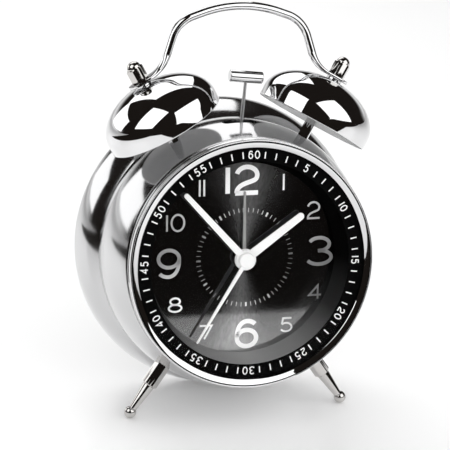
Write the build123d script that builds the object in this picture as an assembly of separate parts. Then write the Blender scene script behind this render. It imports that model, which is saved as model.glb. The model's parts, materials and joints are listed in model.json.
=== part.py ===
from build123d import *
import math
import os

# Twin-bell quartz alarm clock, in millimetres.
# Every piece is drawn in the clock's own frame: x to the right of the dial, y to the back, z up the dial,
# with the dial axis on y and the face of the chapter ring at y = 0. The last section leans the clock back
# until it stands on its two ball feet and the rim of its rear case, and puts the origin under its middle.

# Clearances
SLIP = 0.05                 # radial, a ring pushed over another
RUN = 0.08                  # radial, a piece that turns or slides
HOLE = 0.15                 # radial, a screw or stud through a plain hole
AIR = 0.4                   # between pieces that pass each other
SHADOW = 0.15               # around a panel set into a cover

# Case
CASE_WALL = 0.9
FRONT_EDGE_R = 51.8
FRONT_BULGE_R = 56.4        # at the bells
CREASE_R = 56.2
REAR_BULGE_R = 62.6
REAR_ROLL_R = 5.0
CREASE_LAP = 2.2            # the front case reaches this far into the rear case
SEAT_WIDTH = 4.0            # flange that the chapter ring is clamped on
REAR_LIP_WIDTH = 3.2
BELL_PLANE_Y = 19.0
CREASE_Y = 34.8
REAR_BULGE_Y = 52.5

# Bezel, crystal and dial
RING_INNER_R = 42.4
RING_OUTER_R = 49.3
RING_THICKNESS = 1.4
CRYSTAL_THICKNESS = 1.6
DIAL_DEPTH = 12.0
DIAL_R = 40.2
DIAL_WALL = 1.4
DIAL_THICKNESS = 0.8
BEZEL_COVER = 0.9           # overlap of the bezel on the crystal
BEZEL_LIP = 0.5
BEZEL_RISE = 1.0
BEZEL_SKIRT = 3.0
BEZEL_WALL = 1.15

# Hands, clockwise from twelve
HOUR_ANGLE = 54.5
MINUTE_ANGLE = 317.5
SECOND_ANGLE = 212.0
ALARM_ANGLE = 0.0
HOUR_LENGTH = 30.9
MINUTE_LENGTH = 38.8
SECOND_LENGTH = 40.0
ALARM_LENGTH = 28.4
HUB_R = 4.5
HAND_THICKNESS = 0.5
HAND_STEP = 1.3             # spacing of the hands along the axis

# Bells, posts and handle
BELL_ANGLE = 29.5           # either side of twelve
BELL_R = 24.6
BELL_HEIGHT = 19.6
BELL_SKIRT = 4.0
BELL_WALL = 1.0
BELL_CROWN_R = 3.6
BELL_RIM_RHO = 63.4
POST_ACROSS = 4.2
STUD_R = 1.5
WASHER_R = 3.4
WASHER_THICKNESS = 0.9
NUT_ACROSS = 6.4
ACORN_BODY = 6.0
ACORN_HEIGHT = 8.6
ACORN_THREAD = 5.0
INNER_NUT_ACROSS = 5.5
INNER_NUT_HEIGHT = 2.4
HANDLE_R = 1.75
HANDLE_FOOT_WIDTH = 7.6
HANDLE_THICKNESS = 1.4      # of the flattened feet
HANDLE_EDGE_R = 0.4
HANDLE_FOOT_IN = 10.0       # from the stud to the corner of the bend
HANDLE_FOOT_OUT = 5.8       # from the stud to the rounded end
HANDLE_SHOULDER_X = 26.8
HANDLE_SHOULDER_Z = 97.6
HANDLE_APEX_Z = 106.8
HANDLE_BEND_R = 15.4
HANDLE_SHOULDER_R = 13.7
HANDLE_TOP_R = 51.0

# Legs
LEG_ANGLE = 35.6            # either side of six
SLEEVE_ACROSS = 6.0
SLEEVE_TURN_LEFT = 20.0     # of a flat, away from the front
SLEEVE_TURN_RIGHT = 8.0
SLEEVE_RHO = 66.0
LEG_TOP_R = 2.6
LEG_NECK_R = 1.65
FOOT_R = 2.6
FOOT_RHO = 79.8

# Hammer and its drive
HAMMER_REST = 5.5           # lean towards the right bell
PIVOT_Z = 47.5
PIN_R = 1.0
LEVER_R = 2.4
LEVER_DEPTH = 3.6
HAMMER_REACH = 27.3         # pivot to the middle of the head
HEAD_R = 2.45
HEAD_LENGTH = 14.2
ROD_R = 0.7
SLOT_LENGTH = 15.0
SLOT_WIDTH = 4.6
CAM_Z = 41.2
CAM_R = 1.8
CAM_THROW = 0.7
FORK_GAP = 7.8
FORK_TINE = 1.5
MOTOR_R = 6.6
MOTOR_LENGTH = 16.0
MOTOR_SHAFT_R = 0.7
BRACKET_WIDTH = 26.0
BRACKET_THICKNESS = 1.2

# Movement
PLATE_R = 34.5
PLATE_THICKNESS = 1.6
PILLAR_R = 2.2
PILLAR_PITCH_R = 31.0
WHEEL_THICKNESS = 0.8
LEVEL_STEP = 1.7            # spacing of the wheels along the axis
ARBOR_R = 0.6
PIPE_WALL = 0.55
PIVOT_R = 0.45
MODULE = 0.5
TEETH_THIRD_PINION = 8
TEETH_CENTRE = 60
TEETH_SECOND_PINION = 8
TEETH_THIRD = 64
TEETH_CANNON = 10
TEETH_MOTION = 30
TEETH_MOTION_PINION = 8
TEETH_HOUR = 32
TEETH_TIME_SET = 15
TEETH_ALARM = 32
TEETH_ALARM_SET = 40
TEETH_SECOND = 60
TEETH_INTER_PINION = 10
TEETH_INTER = 40
TEETH_ROTOR = 8
ADDENDUM = 0.72             # of the module
DEDENDUM = 1.05
BACKLASH = 0.32
MAGNET_R = 2.6
STATOR_THICKNESS = 1.0
COIL_LENGTH = 10.0
COIL_SIZE = 4.6
SCREW_R = 1.0
SCREW_HEAD_R = 1.9
SCREW_HEAD = 1.1

# Back
COVER_THICKNESS = 2.0
COVER_FLANGE = 1.4
BATTERY_R = 7.1
BATTERY_LENGTH = 50.2
BATTERY_TOP_Z = -14.0       # upper edge of the battery box space
BOX_WALL = 1.4
CONTACT_THICKNESS = 0.5
CONTACT_SIZE = 8.0
DOOR_MARGIN = 1.2
STEM_R = 1.3
KNOB_R = 6.5
KNOB_HEIGHT = 7.0
KNOB_FLUTES = 24
SWITCH_Z = 24.0
SWITCH_TRAVEL = 5.0
SWITCH_LENGTH = 5.0
SWITCH_WIDTH = 3.6
SWITCH_HEIGHT = 2.6
DOOR_TRAVEL = 20.0


# Shapes

def slab(face, y0, y1):
    """A flat face drawn in x and z, thick from y0 to y1."""
    return Rot(90, 0, 0) * (Pos(0, 0, -y1) * extrude(face, y1 - y0))


def rod(r, y0, y1, x=0.0, z=0.0):
    return slab(Pos(x, z) * Circle(r), y0, y1)


def block(x0, x1, y0, y1, z0, z1):
    return Pos((x0 + x1) / 2, (y0 + y1) / 2, (z0 + z1) / 2) * Box(x1 - x0, y1 - y0, z1 - z0)


def turned(*points):
    """A profile of (radius, y) corners turned round the dial axis."""
    return revolve(make_face(Polyline(*points, close=True)), Axis.Y)


def turned_edges(*edges):
    return revolve(make_face(list(edges)), Axis.Y)


def upright(shape):
    """Stands a shape turned round y up along z."""
    return Rot(90, 0, 0) * shape


def on_spoke(shape, angle, rho=0.0):
    """Puts a shape drawn along z on a spoke of the bell plane, clockwise from twelve."""
    return Pos(0, BELL_PLANE_Y, 0) * Rot(0, angle, 0) * Pos(0, 0, rho) * shape


def hexagon(across, z0, z1):
    return Pos(0, 0, z0) * extrude(RegularPolygon(across / 2, 6, major_radius=False), z1 - z0)


def post(r, z0, z1):
    return Pos(0, 0, z0) * extrude(Circle(r), z1 - z0)


def gear_face(teeth, module, phase=0.0):
    """Outline of an involute gear, one tooth pointing along the phase angle in degrees."""
    pitch = module * teeth / 2
    base = pitch * math.cos(math.radians(20))
    tip = pitch + ADDENDUM * module
    root = pitch - DEDENDUM * module

    def involute(r):
        a = math.acos(min(1.0, base / r))
        return math.tan(a) - a

    half = math.pi / (2 * teeth) - BACKLASH * module / (2 * pitch)
    start = max(base, root)
    radii = [start + (tip - start) * k / 3 for k in range(4)]
    flank = [(r, half + involute(pitch) - involute(r)) for r in radii]
    if root < base:
        flank.insert(0, (root, flank[0][1]))
    points = []
    for tooth in range(teeth):
        mid = math.radians(phase) + 2 * math.pi * tooth / teeth
        for r, a in flank:
            points.append((r * math.cos(mid - a), r * math.sin(mid - a)))
        for r, a in reversed(flank):
            points.append((r * math.cos(mid + a), r * math.sin(mid + a)))
    return make_face(Polyline(*points, close=True))


def gear(teeth, module, y0, place, phase=0.0):
    x, z = place
    return slab(Pos(x, z) * gear_face(teeth, module, phase), y0, y0 + WHEEL_THICKNESS)


def mesh_phase(phase_a, teeth_a, place_a, teeth_b, place_b):
    """Phase of gear b that sets one of its gaps on the tooth of gear a."""
    line = math.degrees(math.atan2(place_b[1] - place_a[1], place_b[0] - place_a[0]))
    return line + 180 + (180 - (phase_a - line) * teeth_a) / teeth_b


def around(place, distance, angle):
    """A point at a distance from another, the angle counted from x towards z."""
    a = math.radians(angle)
    return place[0] + distance * math.cos(a), place[1] + distance * math.sin(a)


parts = {}

# Case shells
seat_y = RING_THICKNESS
neck_r = RING_OUTER_R + SLIP + BEZEL_WALL
neck_y = seat_y + BEZEL_SKIRT + SLIP
spigot_r = CREASE_R - CASE_WALL - SLIP
rear_y = REAR_BULGE_Y + REAR_ROLL_R
lip_r = REAR_BULGE_R - REAR_ROLL_R - REAR_LIP_WIDTH


def front_arc(offset, y_front):
    return ThreePointArc((FRONT_EDGE_R - offset, y_front), (FRONT_BULGE_R - offset, BELL_PLANE_Y),
                         (CREASE_R - offset, CREASE_Y))


def front_body(offset, y_front):
    """Solid inside the front bulge, smaller by an offset."""
    arc = front_arc(offset, y_front)
    back = Polyline(arc @ 1, (0, CREASE_Y), (0, y_front), arc @ 0)
    return turned_edges(arc, back)


front_outside = front_body(0, neck_y)
inner_arc = front_arc(CASE_WALL, neck_y + CASE_WALL)
outer_arc = front_arc(0, neck_y)
front_case = turned_edges(
    Polyline((neck_r - SEAT_WIDTH, seat_y), (neck_r, seat_y), (neck_r, neck_y), outer_arc @ 0),
    outer_arc,
    Polyline(outer_arc @ 1, (spigot_r, CREASE_Y), (spigot_r, CREASE_Y + CREASE_LAP),
             (spigot_r - CASE_WALL, CREASE_Y + CREASE_LAP), (spigot_r - CASE_WALL, CREASE_Y), inner_arc @ 1),
    inner_arc,
    Polyline(inner_arc @ 0, (neck_r - CASE_WALL, neck_y + CASE_WALL), (neck_r - CASE_WALL, seat_y + CASE_WALL),
             (neck_r - SEAT_WIDTH, seat_y + CASE_WALL), (neck_r - SEAT_WIDTH, seat_y)))
for side in (-1, 1):
    front_case -= on_spoke(post(STUD_R + HOLE, 0, 2 * FRONT_BULGE_R), side * BELL_ANGLE)
    front_case -= on_spoke(post(STUD_R + HOLE, 0, 2 * FRONT_BULGE_R), 180 - side * LEG_ANGLE)
hammer_slot = Rectangle(SLOT_LENGTH - SLOT_WIDTH, SLOT_WIDTH)
for side in (-1, 1):
    hammer_slot += Pos(side * (SLOT_LENGTH - SLOT_WIDTH) / 2, 0) * Circle(SLOT_WIDTH / 2)
front_case -= Pos(0, BELL_PLANE_Y, PIVOT_Z) * extrude(hammer_slot, FRONT_BULGE_R)
parts["front_case"] = front_case

rise = REAR_BULGE_R - CREASE_R
bulge_r = ((REAR_BULGE_Y - CREASE_Y) ** 2 + rise ** 2) / (2 * rise)
bulge_centre = REAR_BULGE_R - bulge_r
roll_centre = REAR_BULGE_R - REAR_ROLL_R


def bulge_point(radius, y):
    return bulge_centre + math.sqrt(radius ** 2 - (REAR_BULGE_Y - y) ** 2), y


def roll_arc(radius):
    d = radius * math.sqrt(0.5)
    return ThreePointArc((roll_centre + radius, REAR_BULGE_Y), (roll_centre + d, REAR_BULGE_Y + d),
                         (roll_centre, REAR_BULGE_Y + radius))


lap_y = CREASE_Y + CREASE_LAP
mid_y = (CREASE_Y + REAR_BULGE_Y) / 2
inner_r = bulge_r - CASE_WALL
outer_bulge = ThreePointArc((CREASE_R, CREASE_Y), bulge_point(bulge_r, mid_y), (REAR_BULGE_R, REAR_BULGE_Y))
inner_bulge = ThreePointArc(bulge_point(inner_r, lap_y), bulge_point(inner_r, (lap_y + REAR_BULGE_Y) / 2),
                            (REAR_BULGE_R - CASE_WALL, REAR_BULGE_Y))
outer_roll = roll_arc(REAR_ROLL_R)
inner_roll = roll_arc(REAR_ROLL_R - CASE_WALL)
rear_case = turned_edges(
    Polyline((spigot_r + SLIP, lap_y), (spigot_r + SLIP, CREASE_Y), outer_bulge @ 0),
    outer_bulge, outer_roll,
    Polyline(outer_roll @ 1, (lip_r, rear_y), (lip_r, rear_y - CASE_WALL), inner_roll @ 1),
    inner_roll, inner_bulge,
    Line(inner_bulge @ 0, (spigot_r + SLIP, lap_y)))

# Bezel, crystal, chapter ring and dial
crystal_front = -CRYSTAL_THICKNESS
bezel_inner = RING_OUTER_R - BEZEL_COVER
bezel_r = neck_r + SLIP + BEZEL_WALL
bezel_lip = crystal_front - BEZEL_LIP
bezel_peak = bezel_lip - BEZEL_RISE
peak_r = bezel_inner + (bezel_r - bezel_inner) * 0.62
groove_y = (bezel_lip + seat_y) / 2
bezel_nose = ThreePointArc((peak_r, bezel_peak), (bezel_r - 0.35, bezel_peak + 0.3), (bezel_r - 0.1, bezel_lip))
bezel_face = ThreePointArc((bezel_inner, bezel_lip), ((bezel_inner + peak_r) / 2, (bezel_lip + bezel_peak) / 2 - 0.12),
                           (peak_r, bezel_peak))
parts["rear_case"] = rear_case
parts["front_bezel"] = turned_edges(
    Line((bezel_inner, crystal_front), bezel_face @ 0), bezel_face, bezel_nose,
    Polyline(bezel_nose @ 1, (bezel_r - 0.1, groove_y), (bezel_r - 0.5, groove_y),
             (bezel_r - 0.5, groove_y + 0.7), (bezel_r, groove_y + 0.7), (bezel_r, neck_y - SLIP),
             (neck_r + SLIP, neck_y - SLIP), (neck_r + SLIP, seat_y), (RING_OUTER_R + SLIP, seat_y),
             (RING_OUTER_R + SLIP, crystal_front), (bezel_inner, crystal_front)))
parts["crystal"] = rod(RING_OUTER_R, crystal_front, 0)
parts["chapter_ring"] = turned(
    (RING_INNER_R, 0), (RING_OUTER_R, 0), (RING_OUTER_R, seat_y), (RING_INNER_R + DIAL_WALL, seat_y),
    (DIAL_R + DIAL_WALL, DIAL_DEPTH), (DIAL_R, DIAL_DEPTH))

# Levels along the dial axis, from the dial back into the movement
dial_back = DIAL_DEPTH + DIAL_THICKNESS
plate_back = dial_back + PLATE_THICKNESS
level = [plate_back + AIR + k * LEVEL_STEP for k in range(7)]
rear_plate_y = level[6] + WHEEL_THICKNESS + 2 * AIR + 4.2
rear_plate_back = rear_plate_y + PLATE_THICKNESS
cover_y = rear_y
cover_back = cover_y + COVER_FLANGE
knob_y = cover_back + AIR

# Pipes on the dial axis, one inside the other
minute_bore = ARBOR_R + RUN
minute_pipe = minute_bore + PIPE_WALL
hour_bore = minute_pipe + RUN
hour_pipe = hour_bore + PIPE_WALL
alarm_bore = hour_pipe + RUN
alarm_pipe = alarm_bore + PIPE_WALL
bush_bore = alarm_pipe + RUN
bush_r = bush_bore + 0.7
bush_front = DIAL_DEPTH - 1.2

parts["dial_plate"] = rod(DIAL_R + DIAL_WALL, DIAL_DEPTH, dial_back) - rod(bush_r + SLIP, 0, dial_back + 1)

# Arbors of the movement, as (x, z)
centre = (0.0, 0.0)
third_distance = MODULE * (TEETH_CENTRE + TEETH_THIRD_PINION) / 2
third_at = around(centre, third_distance, -90)
third_module = 2 * third_distance / (TEETH_THIRD + TEETH_SECOND_PINION)
motion_distance = MODULE * (TEETH_CANNON + TEETH_MOTION) / 2
motion_at = around(centre, motion_distance, 180)
hour_module = 2 * motion_distance / (TEETH_HOUR + TEETH_MOTION_PINION)
time_set_at = around(motion_at, MODULE * (TEETH_MOTION + TEETH_TIME_SET) / 2, 180)
alarm_set_at = around(centre, MODULE * (TEETH_ALARM + TEETH_ALARM_SET) / 2, 0)
fine = 0.8 * MODULE
inter_at = around(centre, fine * (TEETH_SECOND + TEETH_INTER_PINION) / 2, 60)
rotor_at = around(inter_at, fine * (TEETH_INTER + TEETH_ROTOR) / 2, 90)


# Hands

def hand(length, root_width, tip_width, y0, bore, angle, hub=HUB_R):
    """A tapered hand with a round tip and a round hub, pushed on its pipe."""
    r = tip_width / 2
    blade = make_face(Polyline((-root_width / 2, 0), (root_width / 2, 0), (r, length - r), (-r, length - r),
                               close=True))
    outline = blade + Pos(0, length - r) * Circle(r) + Circle(hub) - Circle(bore)
    return Rot(0, angle, 0) * slab(outline, y0, y0 + HAND_THICKNESS)


alarm_y = bush_front - AIR - HAND_THICKNESS
hour_y = alarm_y - HAND_STEP
minute_y = hour_y - HAND_STEP
second_y = minute_y - HAND_STEP
hub_end = HAND_THICKNESS + AIR / 2
parts["alarm_hand"] = hand(ALARM_LENGTH, 1.5, 1.0, alarm_y, alarm_pipe, ALARM_ANGLE, alarm_pipe + 0.9)
parts["hour_hand"] = hand(HOUR_LENGTH, 3.9, 3.1, hour_y, hour_pipe, HOUR_ANGLE)
parts["minute_hand"] = hand(MINUTE_LENGTH, 3.0, 2.1, minute_y, minute_pipe, MINUTE_ANGLE, HUB_R - 0.2)
second_cap = rod(HUB_R - 1.3, second_y - 0.5, second_y)
parts["second_hand"] = hand(SECOND_LENGTH, 1.7, 0.9, second_y, ARBOR_R, SECOND_ANGLE, HUB_R - 1.1) + second_cap

# Wheels on the dial axis
second_y0, third_y0, centre_y0, cannon_y0, hour_y0, alarm_y0 = (
    level[5], level[4], level[3], level[2], level[1], level[0])
inter_y0 = level[6]
second_wheel = gear(TEETH_SECOND, fine, second_y0, centre)
second_wheel += gear(TEETH_SECOND_PINION, third_module, third_y0, centre)
second_wheel += rod(ARBOR_R, second_y, rear_plate_y - AIR)
second_wheel += rod(1.2, third_y0 + WHEEL_THICKNESS, second_y0)
second_wheel += rod(PIVOT_R, rear_plate_y - AIR, rear_plate_back)
parts["second_wheel"] = second_wheel

third_phase = mesh_phase(0, TEETH_SECOND_PINION, centre, TEETH_THIRD, third_at)
centre_phase = mesh_phase(0, TEETH_THIRD_PINION, third_at, TEETH_CENTRE, centre)
third_wheel = gear(TEETH_THIRD, third_module, third_y0, third_at, third_phase)
third_wheel += gear(TEETH_THIRD_PINION, MODULE, centre_y0, third_at)
third_wheel += rod(ARBOR_R, plate_back + AIR, rear_plate_y - AIR, *third_at)
third_wheel += rod(1.2, centre_y0 + WHEEL_THICKNESS, third_y0, *third_at)
third_wheel += rod(PIVOT_R, dial_back + AIR, rear_plate_back, *third_at)
parts["third_wheel"] = third_wheel

minute_wheel = gear(TEETH_CENTRE, MODULE, centre_y0, centre, centre_phase)
minute_wheel += gear(TEETH_CANNON, MODULE, cannon_y0, centre)
minute_wheel += rod(minute_pipe, minute_y, centre_y0 + WHEEL_THICKNESS)
minute_wheel -= rod(minute_bore, 0, rear_y)
parts["minute_wheel"] = minute_wheel

motion_phase = mesh_phase(0, TEETH_CANNON, centre, TEETH_MOTION, motion_at)
hour_phase = mesh_phase(0, TEETH_MOTION_PINION, motion_at, TEETH_HOUR, centre)
motion_wheel = gear(TEETH_MOTION, MODULE, cannon_y0, motion_at, motion_phase)
motion_wheel += gear(TEETH_MOTION_PINION, hour_module, hour_y0, motion_at)
motion_wheel += rod(1.2, hour_y0, cannon_y0, *motion_at)
motion_wheel -= rod(ARBOR_R + RUN, 0, rear_y, *motion_at)
parts["motion_wheel"] = motion_wheel

hour_wheel = gear(TEETH_HOUR, hour_module, hour_y0, centre, hour_phase) + rod(hour_pipe, hour_y, hour_y0)
parts["hour_wheel"] = hour_wheel - rod(hour_bore, 0, rear_y)
alarm_wheel = gear(TEETH_ALARM, MODULE, alarm_y0, centre) + rod(alarm_pipe, alarm_y, alarm_y0)
parts["alarm_wheel"] = alarm_wheel - rod(alarm_bore, 0, rear_y)

inter_phase = mesh_phase(0, TEETH_SECOND, centre, TEETH_INTER_PINION, inter_at)
rotor_phase = mesh_phase(0, TEETH_INTER, inter_at, TEETH_ROTOR, rotor_at)
inter_wheel = gear(TEETH_INTER_PINION, fine, second_y0, inter_at, inter_phase)
inter_wheel += gear(TEETH_INTER, fine, inter_y0, inter_at)
inter_wheel += rod(1.2, second_y0 + WHEEL_THICKNESS, inter_y0, *inter_at)
parts["intermediate_wheel"] = inter_wheel - rod(ARBOR_R + RUN, 0, rear_y, *inter_at)

stator_y0 = inter_y0 + WHEEL_THICKNESS + 2 * AIR
magnet_y0 = stator_y0 - AIR
magnet_y1 = stator_y0 + STATOR_THICKNESS + AIR
rotor = gear(TEETH_ROTOR, fine, inter_y0, rotor_at, rotor_phase)
rotor += rod(ARBOR_R, inter_y0 - AIR, rear_plate_y - AIR, *rotor_at)
rotor += rod(MAGNET_R, magnet_y0, magnet_y1, *rotor_at)
rotor += rod(PIVOT_R, rear_plate_y - AIR, rear_plate_back, *rotor_at)
parts["rotor"] = rotor

# Stator and coil: an iron frame with the rotor in its lower bar and the coil on its upper bar
frame_x0 = rotor_at[0] - 2.2 * COIL_LENGTH
frame_x1 = rotor_at[0] + MAGNET_R + 2.4
bar = 2.2
frame_z0 = rotor_at[1] - MAGNET_R - 1.6
frame_z1 = rotor_at[1] + MAGNET_R + 1.6
coil_z = frame_z1 + COIL_SIZE / 2 + AIR
frame_z2 = coil_z + bar / 2
stator_y1 = stator_y0 + STATOR_THICKNESS
coil_x0 = (frame_x0 + frame_x1 - COIL_LENGTH) / 2
stator = block(frame_x0, frame_x1, stator_y0, stator_y1, frame_z0, frame_z2)
stator -= block(frame_x0 + bar, frame_x1 - bar, 0, rear_y, frame_z1, coil_z - bar / 2)
stator -= rod(MAGNET_R + AIR, 0, rear_y, *rotor_at)
stator_mid = (stator_y0 + stator_y1) / 2
coil = block(coil_x0, coil_x0 + COIL_LENGTH, stator_mid - COIL_SIZE / 2, stator_mid + COIL_SIZE / 2,
             coil_z - COIL_SIZE / 2, coil_z + COIL_SIZE / 2)
parts["stator"] = stator
parts["coil"] = coil - block(frame_x0, frame_x1, stator_y0, stator_y1, coil_z - bar / 2, coil_z + bar / 2)

# Setting stems and knobs
time_phase = mesh_phase(motion_phase, TEETH_MOTION, motion_at, TEETH_TIME_SET, time_set_at)
alarm_phase = mesh_phase(0, TEETH_ALARM, centre, TEETH_ALARM_SET, alarm_set_at)
stem_end = cover_back + AIR + KNOB_HEIGHT * 0.6


def stem(place, gear_piece):
    body = gear_piece + rod(STEM_R, plate_back + AIR, stem_end, *place)
    return body + rod(ARBOR_R, dial_back + AIR, plate_back + AIR, *place)


parts["time_stem"] = stem(time_set_at, gear(TEETH_TIME_SET, MODULE, cannon_y0, time_set_at, time_phase))
parts["alarm_stem"] = stem(alarm_set_at, gear(TEETH_ALARM_SET, MODULE, alarm_y0, alarm_set_at, alarm_phase))


def knob(place):
    flute = math.pi * KNOB_R / KNOB_FLUTES * 0.45
    body = turned((0, 0), (KNOB_R, 0), (KNOB_R, KNOB_HEIGHT - 0.8), (KNOB_R - 0.8, KNOB_HEIGHT), (0, KNOB_HEIGHT))
    cutters = [Pos(*around((0, 0), KNOB_R, 360 * k / KNOB_FLUTES)) * Circle(flute) for k in range(KNOB_FLUTES)]
    body -= slab(Sketch() + cutters, -1, KNOB_HEIGHT + 1)
    x, z = place
    return Pos(x, knob_y, z) * body - rod(STEM_R, 0, stem_end, x, z)


parts["time_knob"] = knob(time_set_at)
parts["alarm_knob"] = knob(alarm_set_at)

# Movement plates, pillars and screws
pillar_spots = [around(centre, PILLAR_PITCH_R, a) for a in (45, 135, 225, 315)]
front_plate = rod(PLATE_R, dial_back, plate_back) + rod(bush_r, bush_front, dial_back)
front_plate -= rod(bush_bore, 0, rear_y)
front_plate += rod(ARBOR_R, plate_back, cannon_y0 + WHEEL_THICKNESS + AIR / 2, *motion_at)
front_plate -= rod(PIVOT_R + RUN, dial_back, rear_y, *third_at)
for spot in (time_set_at, alarm_set_at):
    front_plate -= rod(ARBOR_R + RUN, dial_back, rear_y, *spot)
rear_plate = rod(PLATE_R, rear_plate_y, rear_plate_back)
rear_plate += rod(ARBOR_R, second_y0 - AIR / 2, rear_plate_y, *inter_at)
for spot in (centre, third_at, rotor_at):
    rear_plate -= rod(PIVOT_R + RUN, rear_plate_y, rear_y, *spot)
for spot in (time_set_at, alarm_set_at):
    rear_plate -= rod(STEM_R + RUN, 0, rear_y, *spot)
pillars = []
screws = []
for spot in pillar_spots:
    rear_plate -= rod(SCREW_R + HOLE, 0, rear_y, *spot)
    pillars.append(rod(PILLAR_R, plate_back, rear_plate_y, *spot) - rod(SCREW_R, plate_back + 4, rear_y, *spot))
    screws.append(rod(SCREW_R, plate_back + 4 + AIR, rear_plate_back, *spot)
                  + rod(SCREW_HEAD_R, rear_plate_back, rear_plate_back + SCREW_HEAD, *spot))
parts["movement_pillars"] = Compound(children=pillars)
parts["movement_screws"] = Compound(children=screws)
parts["dial_nut"] = rod(bush_r + 1.0, bush_front, DIAL_DEPTH) - rod(bush_r, 0, rear_y)

# Circuit board behind the rear plate
board_y = rear_plate_back
board = block(-15, 15, board_y, board_y + 1.4, -28, -9)
board += block(-4, 4, board_y + 1.4, board_y + 3.0, -22, -15)
board += rod(1.4, board_y + 1.4, board_y + 3.4, 9, -14)
parts["circuit_board"] = board - rod(PIVOT_R + RUN, 0, rear_y, *third_at)

# Hammer, its bracket and its motor
bracket_y = rear_plate_back
bracket_back = bracket_y + BRACKET_THICKNESS
bracket_top = PIVOT_Z + LEVER_R + 0.8
bracket_foot = PLATE_R - 9.0
lever_front = BELL_PLANE_Y - LEVER_DEPTH / 2
lever_back = BELL_PLANE_Y + LEVER_DEPTH / 2
motor_back = bracket_back + MOTOR_LENGTH
bracket = block(-BRACKET_WIDTH / 2, BRACKET_WIDTH / 2, bracket_y, bracket_back, bracket_foot, bracket_top)
bracket -= rod(PIN_R, 0, rear_y, 0, PIVOT_Z)
bracket -= rod(MOTOR_SHAFT_R + HOLE, 0, rear_y, 0, CAM_Z)
bracket_screws = []
for side in (-1, 1):
    spot = (side * (BRACKET_WIDTH / 2 - 3), bracket_foot + 3)
    bracket -= rod(SCREW_R + HOLE, 0, rear_y, *spot)
    rear_plate -= rod(SCREW_R, 0, rear_y, *spot)
    bracket_screws.append(rod(SCREW_R, rear_plate_y, bracket_back, *spot)
                          + rod(SCREW_HEAD_R, bracket_back, bracket_back + SCREW_HEAD, *spot))
parts["movement_front_plate"] = front_plate
parts["movement_rear_plate"] = rear_plate
parts["hammer_bracket"] = bracket
parts["bracket_screws"] = Compound(children=bracket_screws)
parts["hammer_pin"] = rod(PIN_R, lever_front - AIR, bracket_back, 0, PIVOT_Z)
parts["hammer_motor"] = rod(MOTOR_R, bracket_back, motor_back, 0, CAM_Z) - rod(MOTOR_SHAFT_R + RUN, 0, rear_y, 0, CAM_Z)
parts["motor_shaft"] = rod(MOTOR_SHAFT_R, lever_front, motor_back - AIR, 0, CAM_Z)
parts["hammer_cam"] = (rod(CAM_R, lever_front + AIR, lever_back - AIR, CAM_THROW, CAM_Z)
                       - rod(MOTOR_SHAFT_R, 0, rear_y, 0, CAM_Z))


def swung(shape):
    """Puts a hammer piece drawn upright over the pivot at its rest angle."""
    return Pos(0, BELL_PLANE_Y, PIVOT_Z) * Rot(0, HAMMER_REST, 0) * shape


fork_drop = PIVOT_Z - CAM_Z + CAM_R + CAM_THROW + AIR
fork_x = FORK_GAP / 2 + FORK_TINE
half_depth = LEVER_DEPTH / 2
lever = block(-fork_x, fork_x, -half_depth, half_depth, -LEVER_R, 0)
for side in (-1, 1):
    x0, x1 = sorted((side * FORK_GAP / 2, side * fork_x))
    lever += block(x0, x1, -half_depth, half_depth, -fork_drop, 0)
rod_foot = PIN_R + 0.8
lever += rod(LEVER_R, -half_depth, half_depth)
lever -= rod(PIN_R + RUN, -half_depth - 1, half_depth + 1)
lever -= post(ROD_R, rod_foot, LEVER_R + 1)
parts["hammer_lever"] = swung(lever)
parts["hammer_rod"] = swung(post(ROD_R, rod_foot, HAMMER_REACH))
head = Pos(-HEAD_LENGTH / 2, 0, HAMMER_REACH) * Rot(0, 90, 0) * Cylinder(
    HEAD_R, HEAD_LENGTH, align=(Align.CENTER, Align.CENTER, Align.MIN))
head = chamfer(head.edges().filter_by(GeomType.CIRCLE), 0.4)
parts["hammer_head"] = swung(head - post(ROD_R, 0, HAMMER_REACH))

# Bells, posts, washers, handle and acorn nuts
crown_t = math.degrees(math.acos(BELL_CROWN_R / BELL_R))
dome = BELL_HEIGHT - BELL_SKIRT


def bell_arc(inset):
    return EllipticalCenterArc((0, BELL_SKIRT), BELL_R - inset, dome - inset, 0, arc_size=crown_t)


bell_out = bell_arc(0)
bell_in = bell_arc(BELL_WALL)
crown_top = (bell_out @ 1).Y
crown_under = (bell_in @ 1).Y
bell_hole = STUD_R + HOLE
bell = turned_edges(
    Line((BELL_R, 0), (BELL_R, BELL_SKIRT)), bell_out,
    Polyline(bell_out @ 1, (bell_hole, crown_top), (bell_hole, crown_under), bell_in @ 1), bell_in,
    Polyline((BELL_R - BELL_WALL, BELL_SKIRT), (BELL_R - BELL_WALL, 0), (BELL_R, 0)))
washer_rho = BELL_RIM_RHO + crown_top
foot_rho = washer_rho + WASHER_THICKNESS
nut_rho = foot_rho + HANDLE_THICKNESS
stud_top = nut_rho + ACORN_THREAD - AIR
inner_nut_rho = FRONT_BULGE_R - CASE_WALL - INNER_NUT_HEIGHT


def case_nut(angle):
    """A nut against the curved inside of the front case."""
    nut = on_spoke(hexagon(INNER_NUT_ACROSS, inner_nut_rho, FRONT_BULGE_R), angle)
    nut -= on_spoke(post(STUD_R, 0, FRONT_BULGE_R), angle)
    return nut & front_body(CASE_WALL + SLIP, neck_y + CASE_WALL)


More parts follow.
